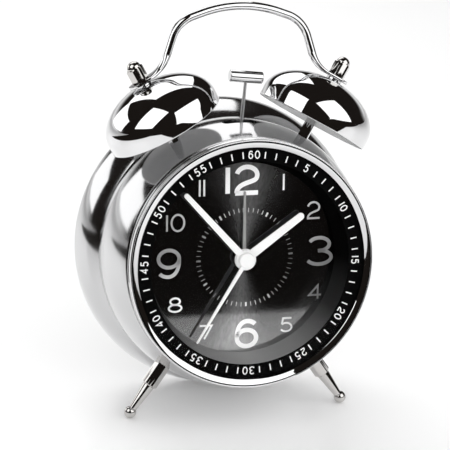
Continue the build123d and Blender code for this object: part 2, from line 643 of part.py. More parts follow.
acorn_dome_r = NUT_ACROSS * 0.46
acorn_rise = ACORN_HEIGHT - ACORN_BODY
acorn_dome = turned_edges(
    Polyline((0, ACORN_HEIGHT), (0, ACORN_BODY - 1), (acorn_dome_r, ACORN_BODY - 1), (acorn_dome_r, ACORN_BODY)),
    ThreePointArc((acorn_dome_r, ACORN_BODY), (acorn_dome_r * 0.8, ACORN_BODY + acorn_rise * 0.6), (0, ACORN_HEIGHT)))
acorn = hexagon(NUT_ACROSS, 0, ACORN_BODY)
acorn = chamfer(acorn.edges().group_by(Axis.Z)[-1], 0.08 * NUT_ACROSS)
acorn += upright(acorn_dome)
acorn -= post(STUD_R, -1, ACORN_THREAD)

post_nuts = []
washers = []
for name, side in (("left", -1), ("right", 1)):
    angle = side * BELL_ANGLE
    pillar = on_spoke(hexagon(POST_ACROSS, inner_nut_rho, BELL_RIM_RHO + crown_under), angle) - front_outside
    parts[name + "_bell_post"] = pillar + on_spoke(post(STUD_R, inner_nut_rho - 1, stud_top), angle)
    parts[name + "_bell"] = on_spoke(upright(bell), angle, BELL_RIM_RHO)
    parts[name + "_acorn_nut"] = on_spoke(acorn, angle, nut_rho)
    post_nuts.append(case_nut(angle))
    washer = post(WASHER_R, washer_rho, foot_rho) - post(bell_hole, washer_rho - 1, foot_rho + 1)
    washers.append(on_spoke(washer, angle))
parts["bell_post_nuts"] = Compound(children=post_nuts)
parts["handle_washers"] = Compound(children=washers)

strip_rho = foot_rho + HANDLE_THICKNESS / 2


def foot_point(inward):
    """A point of the right foot of the handle, measured inward from the stud."""
    a = math.radians(BELL_ANGLE)
    x = strip_rho * math.sin(a) - inward * math.cos(a)
    return Vector(x, BELL_PLANE_Y, strip_rho * math.cos(a) + inward * math.sin(a))


# The handle is a round rod whose two ends are flattened through the bend above the nuts
foot_round = HANDLE_FOOT_WIDTH / 2
corner = foot_point(HANDLE_FOOT_IN)
shoulder = Vector(HANDLE_SHOULDER_X, BELL_PLANE_Y, HANDLE_SHOULDER_Z)
foot_way = (corner - foot_point(0)).normalized()
leg_way = (shoulder - corner).normalized()
bend_reach = HANDLE_BEND_R * math.tan(math.radians(foot_way.get_angle(leg_way) / 2))
bend = TangentArc(corner - foot_way * bend_reach, corner + leg_way * bend_reach, tangent=foot_way)
bend_end = bend @ 1
arch = FilletPolyline(
    bend_end, shoulder, (0, BELL_PLANE_Y, HANDLE_APEX_Z), (-shoulder.X, BELL_PLANE_Y, shoulder.Z),
    (-bend_end.X, BELL_PLANE_Y, bend_end.Z), radius=[HANDLE_SHOULDER_R, HANDLE_TOP_R, HANDLE_SHOULDER_R])
flare = []
for k in range(5):
    t = k / 4
    half_width = foot_round + (HANDLE_R - foot_round) * t
    half_thick = HANDLE_THICKNESS / 2 + (HANDLE_R - HANDLE_THICKNESS / 2) * t
    flare.append(Plane(bend @ t, x_dir=(0, 1, 0), z_dir=bend % t) * Ellipse(half_width, half_thick))
foot_end = bend_reach - HANDLE_FOOT_IN - 0.8
foot_centre = HANDLE_FOOT_OUT - foot_round
foot_face = Pos((foot_end + foot_centre) / 2, 0) * Rectangle(foot_centre - foot_end, HANDLE_FOOT_WIDTH)
foot_face += Pos(foot_centre, 0) * Circle(foot_round)
foot = Pos(0, 0, foot_rho) * extrude(foot_face, HANDLE_THICKNESS)
foot = fillet(foot.edges().group_by(Axis.Z)[0] + foot.edges().group_by(Axis.Z)[-1], HANDLE_EDGE_R)
foot = on_spoke(foot, BELL_ANGLE) + loft(flare)
foot -= on_spoke(post(bell_hole, foot_rho - 1, nut_rho + 1), BELL_ANGLE)
handle = sweep(Plane(arch @ 0, z_dir=arch % 0) * Circle(HANDLE_R), arch)
handle += foot
handle += mirror(foot, Plane.YZ)
parts["handle"] = handle

# Legs
leg_length = FOOT_RHO - SLEEVE_RHO
cone_end = leg_length - math.sqrt(FOOT_R ** 2 - LEG_NECK_R ** 2)
leg = upright(turned((0, 0), (LEG_TOP_R, 0), (LEG_NECK_R, cone_end), (0, cone_end)))
leg += Pos(0, 0, leg_length) * Sphere(FOOT_R)
leg_nuts = []
for name, side, turn in (("left", -1, SLEEVE_TURN_LEFT), ("right", 1, SLEEVE_TURN_RIGHT)):
    angle = 180 - side * LEG_ANGLE
    sleeve = Rot(0, 0, turn) * hexagon(SLEEVE_ACROSS, inner_nut_rho, SLEEVE_RHO)
    sleeve = on_spoke(sleeve, angle) - front_outside
    parts[name + "_leg_sleeve"] = sleeve + on_spoke(post(STUD_R, inner_nut_rho - 1, SLEEVE_RHO - 1), angle)
    parts[name + "_leg"] = on_spoke(leg, angle, SLEEVE_RHO)
    leg_nuts.append(case_nut(angle))
parts["leg_nuts"] = Compound(children=leg_nuts)

# Back cover with the battery box, door, batteries and contacts
cover_r = REAR_BULGE_R - REAR_ROLL_R + 0.6
spigot_back_r = lip_r - SLIP
box_half = BATTERY_LENGTH / 2 + CONTACT_THICKNESS
cell_z = [BATTERY_TOP_Z - BATTERY_R - SLIP, BATTERY_TOP_Z - 3 * BATTERY_R - 3 * SLIP]
box_z0 = cell_z[1] - BATTERY_R - SLIP
box_back = cover_back - COVER_THICKNESS
cell_y = box_back - AIR - BATTERY_R
box_front = cell_y - BATTERY_R - SLIP
door_half = box_half + BOX_WALL + DOOR_MARGIN
door_z0 = box_z0 - DOOR_MARGIN
door_z1 = BATTERY_TOP_Z + DOOR_MARGIN
back_cover = rod(cover_r, cover_y, cover_back) + rod(spigot_back_r, cover_back - COVER_THICKNESS, cover_y)
back_cover += block(-box_half - BOX_WALL, box_half + BOX_WALL, box_front - BOX_WALL, cover_y,
                    box_z0 - BOX_WALL, BATTERY_TOP_Z + BOX_WALL)
back_cover -= block(-box_half, box_half, box_front, cover_back + 1, box_z0, BATTERY_TOP_Z)
door_front = cover_y
back_cover -= block(-door_half, door_half, door_front, cover_back + 1, door_z0, door_z1)
for spot in (time_set_at, alarm_set_at):
    back_cover -= rod(STEM_R + HOLE, 0, cover_back + 1, *spot)
slot_half = (SWITCH_LENGTH + SWITCH_TRAVEL) / 2 + SHADOW
slot_tall = SWITCH_WIDTH / 2 + SHADOW
back_cover -= block(-slot_half, slot_half, 0, cover_back + 1, SWITCH_Z - slot_tall, SWITCH_Z + slot_tall)
screw_r = (lip_r + roll_centre) / 2
screw_spots = [around(centre, screw_r, a) for a in (20, 160, 200, 340)]
cover_screws = []
for spot in screw_spots:
    back_cover -= rod(SCREW_R + HOLE, cover_y - 1, cover_back + 1, *spot)
    rear_case -= rod(SCREW_R, rear_y - 2 * CASE_WALL, rear_y + 1, *spot)
    cover_screws.append(rod(SCREW_R, rear_y - 2 * CASE_WALL, cover_back, *spot)
                        + rod(SCREW_HEAD_R, cover_back, cover_back + SCREW_HEAD, *spot))
parts["rear_case"] = rear_case
parts["back_cover"] = back_cover
parts["cover_screws"] = Compound(children=cover_screws)
parts["battery_door"] = block(-door_half + SHADOW, door_half - SHADOW, door_front, cover_back,
                              door_z0 + SHADOW, door_z1 - SHADOW)
nub = 1.2
for name, side, z in (("upper", 1, cell_z[0]), ("lower", -1, cell_z[1])):
    cell = Cylinder(BATTERY_R, BATTERY_LENGTH - nub, align=(Align.CENTER, Align.CENTER, Align.MIN))
    cell = Pos(0, 0, -BATTERY_LENGTH / 2) * fillet(cell.edges().filter_by(GeomType.CIRCLE), 0.6)
    cell += post(BATTERY_R * 0.38, 0, BATTERY_LENGTH / 2)
    parts[name + "_battery"] = Pos(0, cell_y, z) * Rot(0, 90 * side, 0) * cell
contacts = []
for side in (-1, 1):
    for z in cell_z:
        x0, x1 = sorted((side * BATTERY_LENGTH / 2, side * box_half))
        contacts.append(block(x0, x1, cell_y - CONTACT_SIZE / 2, cell_y + CONTACT_SIZE / 2,
                              z - CONTACT_SIZE / 2, z + CONTACT_SIZE / 2))
parts["battery_contacts"] = Compound(children=contacts)
switch_x = -SWITCH_TRAVEL / 2
keeper_y = cover_back - COVER_THICKNESS - SHADOW
switch = block(switch_x - SWITCH_LENGTH / 2, switch_x + SWITCH_LENGTH / 2, keeper_y, cover_back + SWITCH_HEIGHT,
               SWITCH_Z - SWITCH_WIDTH / 2, SWITCH_Z + SWITCH_WIDTH / 2)
switch += block(switch_x - SWITCH_LENGTH, switch_x + SWITCH_LENGTH, keeper_y - 1, keeper_y,
                SWITCH_Z - SWITCH_WIDTH, SWITCH_Z + SWITCH_WIDTH)
parts["alarm_switch"] = switch

# Lean: the line under the ball feet and the roll of the rear case lies on the table
foot_z = -FOOT_RHO * math.cos(math.radians(LEG_ANGLE))
run_y = REAR_BULGE_Y - BELL_PLANE_Y
run_z = -roll_centre - foot_z
LEAN = math.degrees(math.atan2(run_z, run_y) - math.asin((REAR_ROLL_R - FOOT_R) / math.hypot(run_y, run_z)))
leaned = {name: Rot(-LEAN, 0, 0) * shape for name, shape in parts.items()}
boxes = [shape.bounding_box() for shape in leaned.values()]
middle_y = (min(b.min.Y for b in boxes) + max(b.max.Y for b in boxes)) / 2
bottom_z = min(b.min.Z for b in boxes)
STAND = Pos(0, -middle_y, -bottom_z) * Rot(-LEAN, 0, 0)

os.makedirs("parts", exist_ok=True)
for name, shape in parts.items():
    export_step(STAND * shape, "parts/" + name + ".step")
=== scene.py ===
import json
import math

import bmesh
import bpy
from mathutils import Matrix, Vector

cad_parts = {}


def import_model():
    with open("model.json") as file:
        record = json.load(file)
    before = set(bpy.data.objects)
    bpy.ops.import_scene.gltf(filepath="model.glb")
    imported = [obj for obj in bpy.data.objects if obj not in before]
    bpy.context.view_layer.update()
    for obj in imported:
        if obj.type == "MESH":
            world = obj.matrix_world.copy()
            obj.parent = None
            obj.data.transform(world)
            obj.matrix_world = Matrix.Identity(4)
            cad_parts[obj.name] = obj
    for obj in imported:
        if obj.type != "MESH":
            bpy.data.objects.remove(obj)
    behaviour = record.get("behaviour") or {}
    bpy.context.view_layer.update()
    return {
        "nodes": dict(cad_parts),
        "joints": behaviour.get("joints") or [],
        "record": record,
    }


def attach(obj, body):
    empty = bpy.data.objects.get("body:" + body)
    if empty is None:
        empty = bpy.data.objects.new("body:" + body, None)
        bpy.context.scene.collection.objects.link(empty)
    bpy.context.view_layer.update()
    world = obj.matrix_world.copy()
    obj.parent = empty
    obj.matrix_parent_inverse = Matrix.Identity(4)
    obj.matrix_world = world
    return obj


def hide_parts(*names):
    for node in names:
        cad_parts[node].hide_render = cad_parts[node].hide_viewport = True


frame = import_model()

# Twin-bell alarm clock. Sizes are in millimetres and angles in degrees, clockwise from twelve.
# The dial's frame has x to the right, y up the dial and z out of it, from the chapter ring's face.

MM = 0.001
TAU = 2 * math.pi

# Case
CASE_WALL = 0.9
NECK_R = 50.5
FRONT_EDGE_R = 51.8
FRONT_BULGE_R = 56.4
CREASE_R = 56.2
REAR_BULGE_R = 62.6
REAR_ROLL_R = 5.0
CREASE_LAP = 2.2
SEAT_WIDTH = 4.0
REAR_LIP_WIDTH = 3.2
SEAT_Y = 1.4
NECK_Y = 4.45
BELL_Y = 19.0
CREASE_Y = 34.8
REAR_BULGE_Y = 52.5
SLOT_LENGTH = 15.0
SLOT_WIDTH = 4.6

# Bezel, chapter ring and dial
BEZEL_INNER_R = 48.4
BEZEL_R = 51.7
BEZEL_LIP_Y = -2.1
BEZEL_PEAK_Y = -3.1
BEVEL_WIDTH = 2.05
SEAM = 0.24
GROOVE_DEPTH = 0.4
FIT = 0.05
CRYSTAL_Y = -1.6
RING_INNER_R = 42.4
RING_OUTER_R = 49.3
DIAL_WALL = 1.4
DIAL_R = 40.2
DIAL_Y = 12.0
DIAL_BACK_Y = 12.8
BUSH_R = 4.2

# Printing
PRINT_THICKNESS = 0.04
DIAL_SHIFT = (0.8, 0.2)
DIAL_TURN = -2.0
RING_TURN = 0.86
BIG_RHO = 32.6
BIG_HEIGHT = 12.8
BIG_STROKE = 1.95
SIDE_STROKE = 1.5
SMALL_RHO = 35.2
TEN_RHO = 33.7
SMALL_HEIGHT = 7.6
LOW_HEIGHT = 6.5
SMALL_WIDTH = 6.2
BIG_WIDTH = 11.5
SMALL_STROKE = 0.8
LABEL_RHO = 45.1
LABEL_HEIGHT = 3.4
LABEL_STROKE = 0.46
MINUTE_TICK = (43.7, 46.4, 0.5)
TRACK_TICK = (19.1, 20.9, 0.24)
TRACK_MARK = (19.1, 20.9, 0.75)
# Painted light on the dial: painted sheen towards twelve and six, stronger low on the dial, and a painted reflection
# at the rim towards five
PAINTED_SHEEN_TURN = 4.0
PAINTED_SHEEN_POWER = 22.0
PAINTED_SHEEN_LEVELS = (0.3, 0.5)
PAINTED_SHEEN_PALE = (0.5, 0.5, 0.505)
PAINTED_LOW_SHEEN = (18.0, 12.0)
PAINTED_RIM_REFLECTION = (30.0, 24.0)
PAINTED_RIM_ANGLE = 148
PAINTED_RIM_POWER = 8.0
# Painted sheen on the hour numerals, grey by hour where the dial's painted sheen is weak
NUMERAL_PAINTED_SHEEN = (1.0, 1.0, 0.5, 0.2, 0.16, 0.85, 1.0, 1.0, 0.95, 0.25, 0.4, 0.8)
# Painted light on the ring's inner wall, grey by hour towards the foot of the dial
WALL_PAINTED_LIGHT = (0.003, 0.003, 0.003, 0.003, 0.04, 0.26, 0.38, 0.28, 0.05, 0.003, 0.003, 0.003)
# Painted sheen on the inner track, grey by hour
TRACK_PAINTED_SHEEN = (0.8, 0.6, 0.25, 0.1, 0.12, 0.45, 0.9, 0.6, 0.3, 0.14, 0.2, 0.5)

# Hands: length, root width, tip width, hub radius, front and angle
HAND_THICKNESS = 0.5
HAND_EDGE = 0.12
HANDS = {
    "hour_hand": ("hour", 30.9, 3.9, 3.1, 4.5, 8.6, 54.5),
    "minute_hand": ("minute", 38.8, 3.0, 2.1, 4.3, 7.3, 317.5),
    "second_hand": ("second", 40.0, 1.7, 0.9, 3.4, 6.0, 212.0),
    "alarm_hand": ("alarm", 28.4, 1.5, 1.0, 3.4, 9.9, 0.0),
}
CAP_R = 3.2
CAP_Y = 5.5
CAP_EDGE = 0.3

# Bells and handle
BELL_ANGLE = 29.5
BELL_R = 24.6
BELL_HEIGHT = 19.6
BELL_SKIRT = 4.0
BELL_WALL = 1.0
BELL_RIM_RHO = 63.4
CROWN_R = 3.6
POST_ACROSS = 4.2
STUD_R = 1.65
WASHER_R = 3.4
WASHER_THICKNESS = 0.9
NUT_ACROSS = 6.4
ACORN_BODY = 6.0
ACORN_HEIGHT = 8.6
HANDLE_R = 1.75
HANDLE_FOOT_WIDTH = 7.6
HANDLE_THICKNESS = 1.4
HANDLE_FOOT_IN = 10.0
HANDLE_FOOT_OUT = 5.8
HANDLE_SHOULDER = (26.8, 97.6)
HANDLE_APEX = 106.8
HANDLE_RADII = (15.4, 13.7, 51.0, 13.7, 15.4)

# Legs and hammer
LEG_ANGLE = 35.6
SLEEVE_ACROSS = 6.0
SLEEVE_RHO = 66.0
LEG_TOP_R = 2.6
LEG_NECK_R = 1.65
FOOT_R = 2.6
FOOT_RHO = 79.8
PIVOT_UP = 47.5
HAMMER_REST = 5.5
HAMMER_REACH = 27.3
HEAD_R = 2.45
HEAD_LENGTH = 14.2

# Meshes
FINE = 320
SHARP = 35
NUT_SHARP = 28

# Camera, from the middle of its view on the dial's plane
VIEW_AT = (-11.416, 16.66, 0.0)
VIEW_DISTANCE = 780.8
VIEW_AZIMUTH = -17.045
VIEW_ELEVATION = 18.7
VIEW_ROLL = 2.97
VIEW_LENS = 153.83
SENSOR_WIDTH = 36

# Studio, in metres: the table is what shiny surfaces see of the floor
TABLE_LEFT = -0.40
TABLE_FRONT = -0.458
TABLE_BACK = 0.42
TABLE_BLUR = 0.01
FLOOR_HALF = 8
FLOOR_ROUGHNESS = 0.3
SOFTBOX_AWAY = 1.1
SOFTBOX_AIM = 0.12
SOFTBOX_SHINE = 1.7
LEFT_SPILL = 0.6
RIGHT_SPILL = 1.5
BACK_SPILL = 3.2
FILL_SPILL = 3.9
AMBIENT = 0.95
FLOOR_TONE = 0.95
FLOOR_GLOW = 0.06
DARK_ROOM = (0.013, 0.0105, 0.009)

# Softboxes: azimuth, elevation, width, height, and strength to shiny and to matt surfaces
SOFTBOXES = {
    "softbox_back": (183, 42, 0.95, 0.85, SOFTBOX_SHINE, BACK_SPILL),
    "softbox_left": (-66, 38, 0.85, 0.95, SOFTBOX_SHINE, LEFT_SPILL),
    "softbox_right": (38, 33, 1.25, 1.1, SOFTBOX_SHINE, RIGHT_SPILL),
    "softbox_side": (-134, 13, 0.8, 0.42, SOFTBOX_SHINE, LEFT_SPILL),
}
FILL_PANEL = (VIEW_AZIMUTH, 12, 0.9, 0.5, 0, FILL_SPILL)

joints = {joint["name"]: joint for joint in frame["joints"]}


def dial_matrix():
    joint = joints["second_turn"]
    out = -Vector(joint["axis"])
    right = Vector((1, 0, 0))
    at = Vector(joint["pos_m"])
    ring = frame["nodes"]["chapter_ring"].data.vertices
    face = max((v.co - at).dot(out) for v in ring)
    matrix = Matrix((right, out.cross(right), out)).transposed().to_4x4()
    matrix.translation = at + out * face
    return matrix


DIAL = dial_matrix()
BACKWARD = DIAL @ Matrix.Rotation(math.pi, 4, "X")


def moved(x, y, z):
    return Matrix.Translation((x * MM, y * MM, z * MM))


def spoke(angle, rho=0.0):
    """A frame on a spoke of the bell plane, with z along the spoke."""
    a = math.radians(angle)
    s, c = math.sin(a), math.cos(a)
    turn = Matrix(((c, 0, s), (-s, 0, c), (0, -1, 0))).to_4x4()
    return DIAL @ moved(rho * s, rho * c, -BELL_Y) @ turn


def direction(azimuth, elevation):
    """The way from the clock to a place round it, azimuth 0 being in front."""
    a, e = math.radians(azimuth), math.radians(elevation)
    return Vector((math.sin(a) * math.cos(e), -math.cos(a) * math.cos(e), math.sin(e)))


def linked(name, data):
    obj = bpy.data.objects.new(name, data)
    bpy.context.scene.collection.objects.link(obj)
    return obj


# Shapes

def circle_arc(x, y, rx, ry, start, end, steps=24):
    """Points of an ellipse's arc, angles in degrees from x towards y."""
    angles = [math.radians(start + (end - start) * k / steps) for k in range(steps + 1)]
    return [(x + rx * math.cos(a), y + ry * math.sin(a)) for a in angles]


def arc_through(a, b, c, steps=24):
    """Points of the circle's arc from a through b to c."""
    ax, ay, bx, by, cx, cy = *a, *b, *c
    d = 2 * (ax * (by - cy) + bx * (cy - ay) + cx * (ay - by))
    sa, sb, sc = ax * ax + ay * ay, bx * bx + by * by, cx * cx + cy * cy
    ux = (sa * (by - cy) + sb * (cy - ay) + sc * (ay - by)) / d
    uy = (sa * (cx - bx) + sb * (ax - cx) + sc * (bx - ax)) / d
    r = math.hypot(ax - ux, ay - uy)
    start, mid, end = (math.degrees(math.atan2(q - uy, p - ux)) for p, q in (a, b, c))
    span = (end - start) % 360
    if (mid - start) % 360 > span:
        span -= 360
    return circle_arc(ux, uy, r, r, start, start + span, steps)


def curve(a, b, c, d, steps=20):
    """Points of a cubic curve."""
    points = []
    for k in range(steps + 1):
        t = k / steps
        w = ((1 - t) ** 3, 3 * t * (1 - t) ** 2, 3 * t * t * (1 - t), t ** 3)
        points.append(tuple(sum(f * p[i] for f, p in zip(w, (a, b, c, d))) for i in (0, 1)))
    return points


def rounded(corners, radii, steps=16):
    """A path through the corners, each inner one rounded with its radius."""
    path = [corners[0]]
    for k, radius in enumerate(radii):
        before, corner, after = (Vector(p) for p in corners[k:k + 3])
        back, on = (before - corner).normalized(), (after - corner).normalized()
        half = back.angle(on) / 2
        reach = radius / math.tan(half)
        centre = corner + (back + on).normalized() * (radius / math.sin(half))
        middle = centre + (corner - centre).normalized() * radius
        path += arc_through(corner + back * reach, middle, corner + on * reach, steps)
    return path + [corners[-1]]


def divided(path, step):
    """The path with its long runs divided."""
    points = [path[0]]
    for a, b in zip(path, path[1:]):
        count = max(1, math.ceil(math.dist(a, b) / step))
        points += [tuple(p + (q - p) * k / count for p, q in zip(a, b)) for k in range(1, count + 1)]
    return points


def made(name, mesh, matrix, body, nodes=(), materials=(), sharp=SHARP, flat=False):
    """An object that rides on a body, smooth but for its corners. A flat one keeps the dial's own frame."""
    if not flat:
        mesh.transform(matrix)
        matrix = Matrix()
    obj = linked(name, mesh)
    mesh.shade_smooth()
    mesh.set_sharp_from_angle(angle=math.radians(sharp))
    for material in materials:
        mesh.materials.append(material)
    obj.matrix_world = matrix
    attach(obj, body)
    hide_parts(*nodes)
    return obj


def solid(name, verts, faces, merge=True):
    """A mesh from points in millimetres, its faces turned outward."""
    mesh = bpy.data.meshes.new(name)
    mesh.from_pydata([tuple(c * MM for c in v) for v in verts], [], faces)
    shape = bmesh.new()
    shape.from_mesh(mesh)
    if merge:
        bmesh.ops.remove_doubles(shape, verts=shape.verts, dist=1e-7)
    bmesh.ops.recalc_face_normals(shape, faces=shape.faces)
    shape.to_mesh(mesh)
    shape.free()
    return mesh


def turned(name, profile, steps=192, flats=None, corner=0.0):
    """A closed (radius, z) profile turned round z, cut to a hexagon where flats is half its width."""
    verts, rings = [], []
    for r, z in profile:
        ring = []
        for k in range(steps):
            a = TAU * k / steps
            reach = r
            if flats is not None:
                reach = min(r, flats / math.cos((a - corner) % (TAU / 6) - TAU / 12))
            ring.append(len(verts))
            verts.append((reach * math.cos(a), reach * math.sin(a), z))
        rings.append(ring)
    faces = []
    for one, two in zip(rings, rings[1:] + rings[:1]):
        for k in range(steps):
            m = (k + 1) % steps
            faces.append((one[k], one[m], two[m], two[k]))
    return solid(name, verts, faces)


def corner_angle(node, matrix):
    """Angle of a hexagon's corner: the node's farthest point from the axis."""
    inverse = matrix.inverted()
    points = [inverse @ v.co for v in frame["nodes"][node].data.vertices]
    far = max(points, key=lambda p: p.x * p.x + p.y * p.y)
    return math.atan2(far.y, far.x)


def walls(count):
    """Faces between two rings of so many points, one listed after the other."""
    return [(k, (k + 1) % count, count + (k + 1) % count, count + k) for k in range(count)]


def plate(name, outline, front, back, edge):
    """A flat outline in the dial's frame, thick between two depths, with its front edge eased."""
    count = len(outline)
    verts = [(x, y, -front) for x, y in outline] + [(x, y, -back) for x, y in outline]
    faces = [tuple(range(count)), tuple(reversed(range(count, 2 * count)))]
    faces += walls(count)
    mesh = solid(name, verts, faces)
    shape = bmesh.new()
    shape.from_mesh(mesh)
    top = [e for e in shape.edges if all(abs(v.co.z + front * MM) < 1e-7 for v in e.verts)]
    bmesh.ops.bevel(shape, geom=top, offset=edge * MM, segments=2, affect="EDGES")
    shape.to_mesh(mesh)
    shape.free()
    return mesh


def ribbon(points, width, closed=False):
    """Both edges of a stroke of even width along points."""
    count = len(points)
    left, right = [], []
    for k in range(count):
        here = Vector(points[k])
        before = Vector(points[(k - 1) % count]) if closed or k else None
        after = Vector(points[(k + 1) % count]) if closed or k < count - 1 else None
        ways = [(b - a).normalized() for a, b in ((before, here), (here, after)) if a and b]
        way = sum(ways, Vector((0, 0))).normalized()
        side = Vector((-way.y, way.x)) * (width / 2 / max(0.4, way.dot(ways[0])))
        left.append(here + side)
        right.append(here - side)
    return left, right


def printing(name, strokes, depth):
    """Thin print from (points, width, closed) strokes, standing on a surface at a depth."""
    verts, faces = [], []
    for points, width, closed in strokes:
        left, right = ribbon(points, width, closed)
        count = len(points)
        base = len(verts)
        for z in (-depth + PRINT_THICKNESS, -depth):
            verts += [(p.x, p.y, z) for p in left] + [(p.x, p.y, z) for p in right]
        runs = [(k, (k + 1) % count) for k in range(count if closed else count - 1)]
        top_left, top_right, low_left, low_right = (base + i * count for i in range(4))
        for k, m in runs:
            faces.append((top_left + k, top_left + m, top_right + m, top_right + k))
            faces.append((low_left + k, low_left + m, low_right + m, low_right + k))
            faces.append((top_left + k, top_left + m, low_left + m, low_left + k))
            faces.append((top_right + k, top_right + m, low_right + m, low_right + k))
        if not closed:
            for k in (0, count - 1):
                faces.append((top_left + k, top_right + k, low_right + k, low_left + k))
    return solid(name, verts, faces, merge=False)


# Materials

class Look:
    """A node material with a Principled shader."""

    def __init__(self, name, color, roughness, metallic=0.0, **sockets):
        self.material = bpy.data.materials.new(name)
        self.material.use_nodes = True
        self.nodes = self.material.node_tree.nodes
        self.links = self.material.node_tree.links
        self.shader = self.nodes["Principled BSDF"]
        self.set(Base_Color=(*color, 1), Roughness=roughness, Metallic=metallic, **sockets)
        self.color, self.roughness = color, roughness
        self.place = self.node("ShaderNodeTexCoord").outputs["Object"]

    def set(self, **sockets):
        for key, value in sockets.items():
            self.shader.inputs[key.replace("_", " ")].default_value = value

    def node(self, kind, **settings):
        node = self.nodes.new(kind)
        for key, value in settings.items():
            if hasattr(node, key):
                setattr(node, key, value)
            else:
                node.inputs[key.replace("_", " ")].default_value = value
        return node

    def noise(self, per_mm, detail=3.0, source=None):
        """Noise with about so many grains to a millimetre."""
        noise = self.node("ShaderNodeTexNoise", Scale=per_mm / MM, Detail=detail)
        self.links.new(source or self.place, noise.inputs["Vector"])
        return noise.outputs["Fac"]

    def spread(self, fac, low, high):
        node = self.node("ShaderNodeMapRange", To_Min=low, To_Max=high)
        node.inputs["From Min"].default_value = 0.3
        node.inputs["From Max"].default_value = 0.7
        self.links.new(fac, node.inputs["Value"])
        return node.outputs["Result"]

    def vary_roughness(self, fac, amount):
        low, high = max(0.0, self.roughness - amount), self.roughness + amount
        self.links.new(self.spread(fac, low, high), self.shader.inputs["Roughness"])

    def vary_color(self, fac, amount):
        pale = tuple(min(1, c * (1 + amount)) for c in self.color)
        self.color = tuple(c * (1 - amount) for c in self.color)
        self.blend(self.spread(fac, 0, 1), pale)

    def bump(self, fac, strength, height):
        bump = self.node("ShaderNodeBump", Strength=strength, Distance=height * MM)
        self.links.new(fac, bump.inputs["Height"])
        self.links.new(bump.outputs["Normal"], self.shader.inputs["Normal"])

    def math(self, operation, value, other=None):
        node = self.node("ShaderNodeMath", operation=operation)
        for socket, given in zip(node.inputs, (value, other)):
            if isinstance(given, (int, float)):
                socket.default_value = given
            elif given is not None:
                self.links.new(given, socket)
        return node.outputs["Value"]

    def along(self, axis):
        """Millimetres along one of the object's axes."""
        apart = self.node("ShaderNodeSeparateXYZ")
        self.links.new(self.place, apart.inputs["Vector"])
        return self.math("DIVIDE", apart.outputs[axis], MM)

    def angle(self, turn=0.0):
        """Radians clockwise from twelve, less a turn in degrees."""
        around = self.math("ARCTAN2", self.along("X"), self.along("Y"))
        return self.math("SUBTRACT", around, math.radians(turn))

    def radius(self):
        """Millimetres from the dial's middle."""
        x, y = self.along("X"), self.along("Y")
        return self.math("SQRT", self.math("ADD", self.math("MULTIPLY", x, x), self.math("MULTIPLY", y, y)))

    def spin(self):
        """A place that changes round the dial but not along its radius."""
        middle = self.node("ShaderNodeVectorMath", operation="NORMALIZE")
        self.links.new(self.place, middle.inputs[0])
        return middle.outputs["Vector"]

    def blend(self, fac, color):
        """Base colour that goes to another with a factor."""
        mix = self.node("ShaderNodeMix", data_type="RGBA")
        one, two = [s for s in mix.inputs if s.type == "RGBA"]
        one.default_value, two.default_value = (*self.color, 1), (*color, 1)
        self.links.new(fac, mix.inputs["Factor"])
        self.links.new([s for s in mix.outputs if s.type == "RGBA"][0], self.shader.inputs["Base Color"])

    def shade_by_hour(self, painted_greys):
        """Painted light: a grey that changes from hour to hour round the dial."""
        ramp = self.node("ShaderNodeValToRGB")
        stops = ramp.color_ramp.elements
        while len(stops) < len(painted_greys) + 1:
            stops.new(0.5)
        for k, stop in enumerate(stops):
            grey = painted_greys[k % len(painted_greys)]
            stop.position, stop.color = k / len(painted_greys), (grey, grey, grey, 1)
        turns = self.math("FRACT", self.math("DIVIDE", self.angle(), TAU))
        self.links.new(turns, ramp.inputs["Fac"])
        self.links.new(ramp.outputs["Color"], self.shader.inputs["Base Color"])


def chrome(name, roughness, color=(0.72, 0.72, 0.725)):
    look = Look(name, color, roughness, 1.0)
    look.vary_roughness(look.noise(0.08), 0.02)
    look.bump(look.noise(0.03, 1.0), 0.03, 0.4)
    return look.material


def satin_metal(name, color, roughness):
    look = Look(name, color, roughness, 1.0)
    grain = look.noise(4.0, 4.0)
    look.vary_roughness(grain, 0.08)
    look.vary_color(look.noise(0.3), 0.06)
    look.bump(grain, 0.15, 0.02)
    return look.material


def plastic(name, color, roughness, grain=6.0, depth=0.03, gloss=0.5):
    look = Look(name, color, roughness, Specular_IOR_Level=gloss)
    fine = look.noise(grain, 4.0)
    look.vary_roughness(fine, 0.08)
    look.vary_color(look.noise(0.12), 0.08)
    look.bump(fine, 0.35, depth)
    return look.material


def paint(name, color, roughness):
    look = Look(name, color, roughness)
    look.vary_roughness(look.noise(0.6), 0.06)
    look.vary_color(look.noise(0.15), 0.02)
    look.bump(look.noise(1.2, 2.0), 0.08, 0.02)
    return look.material


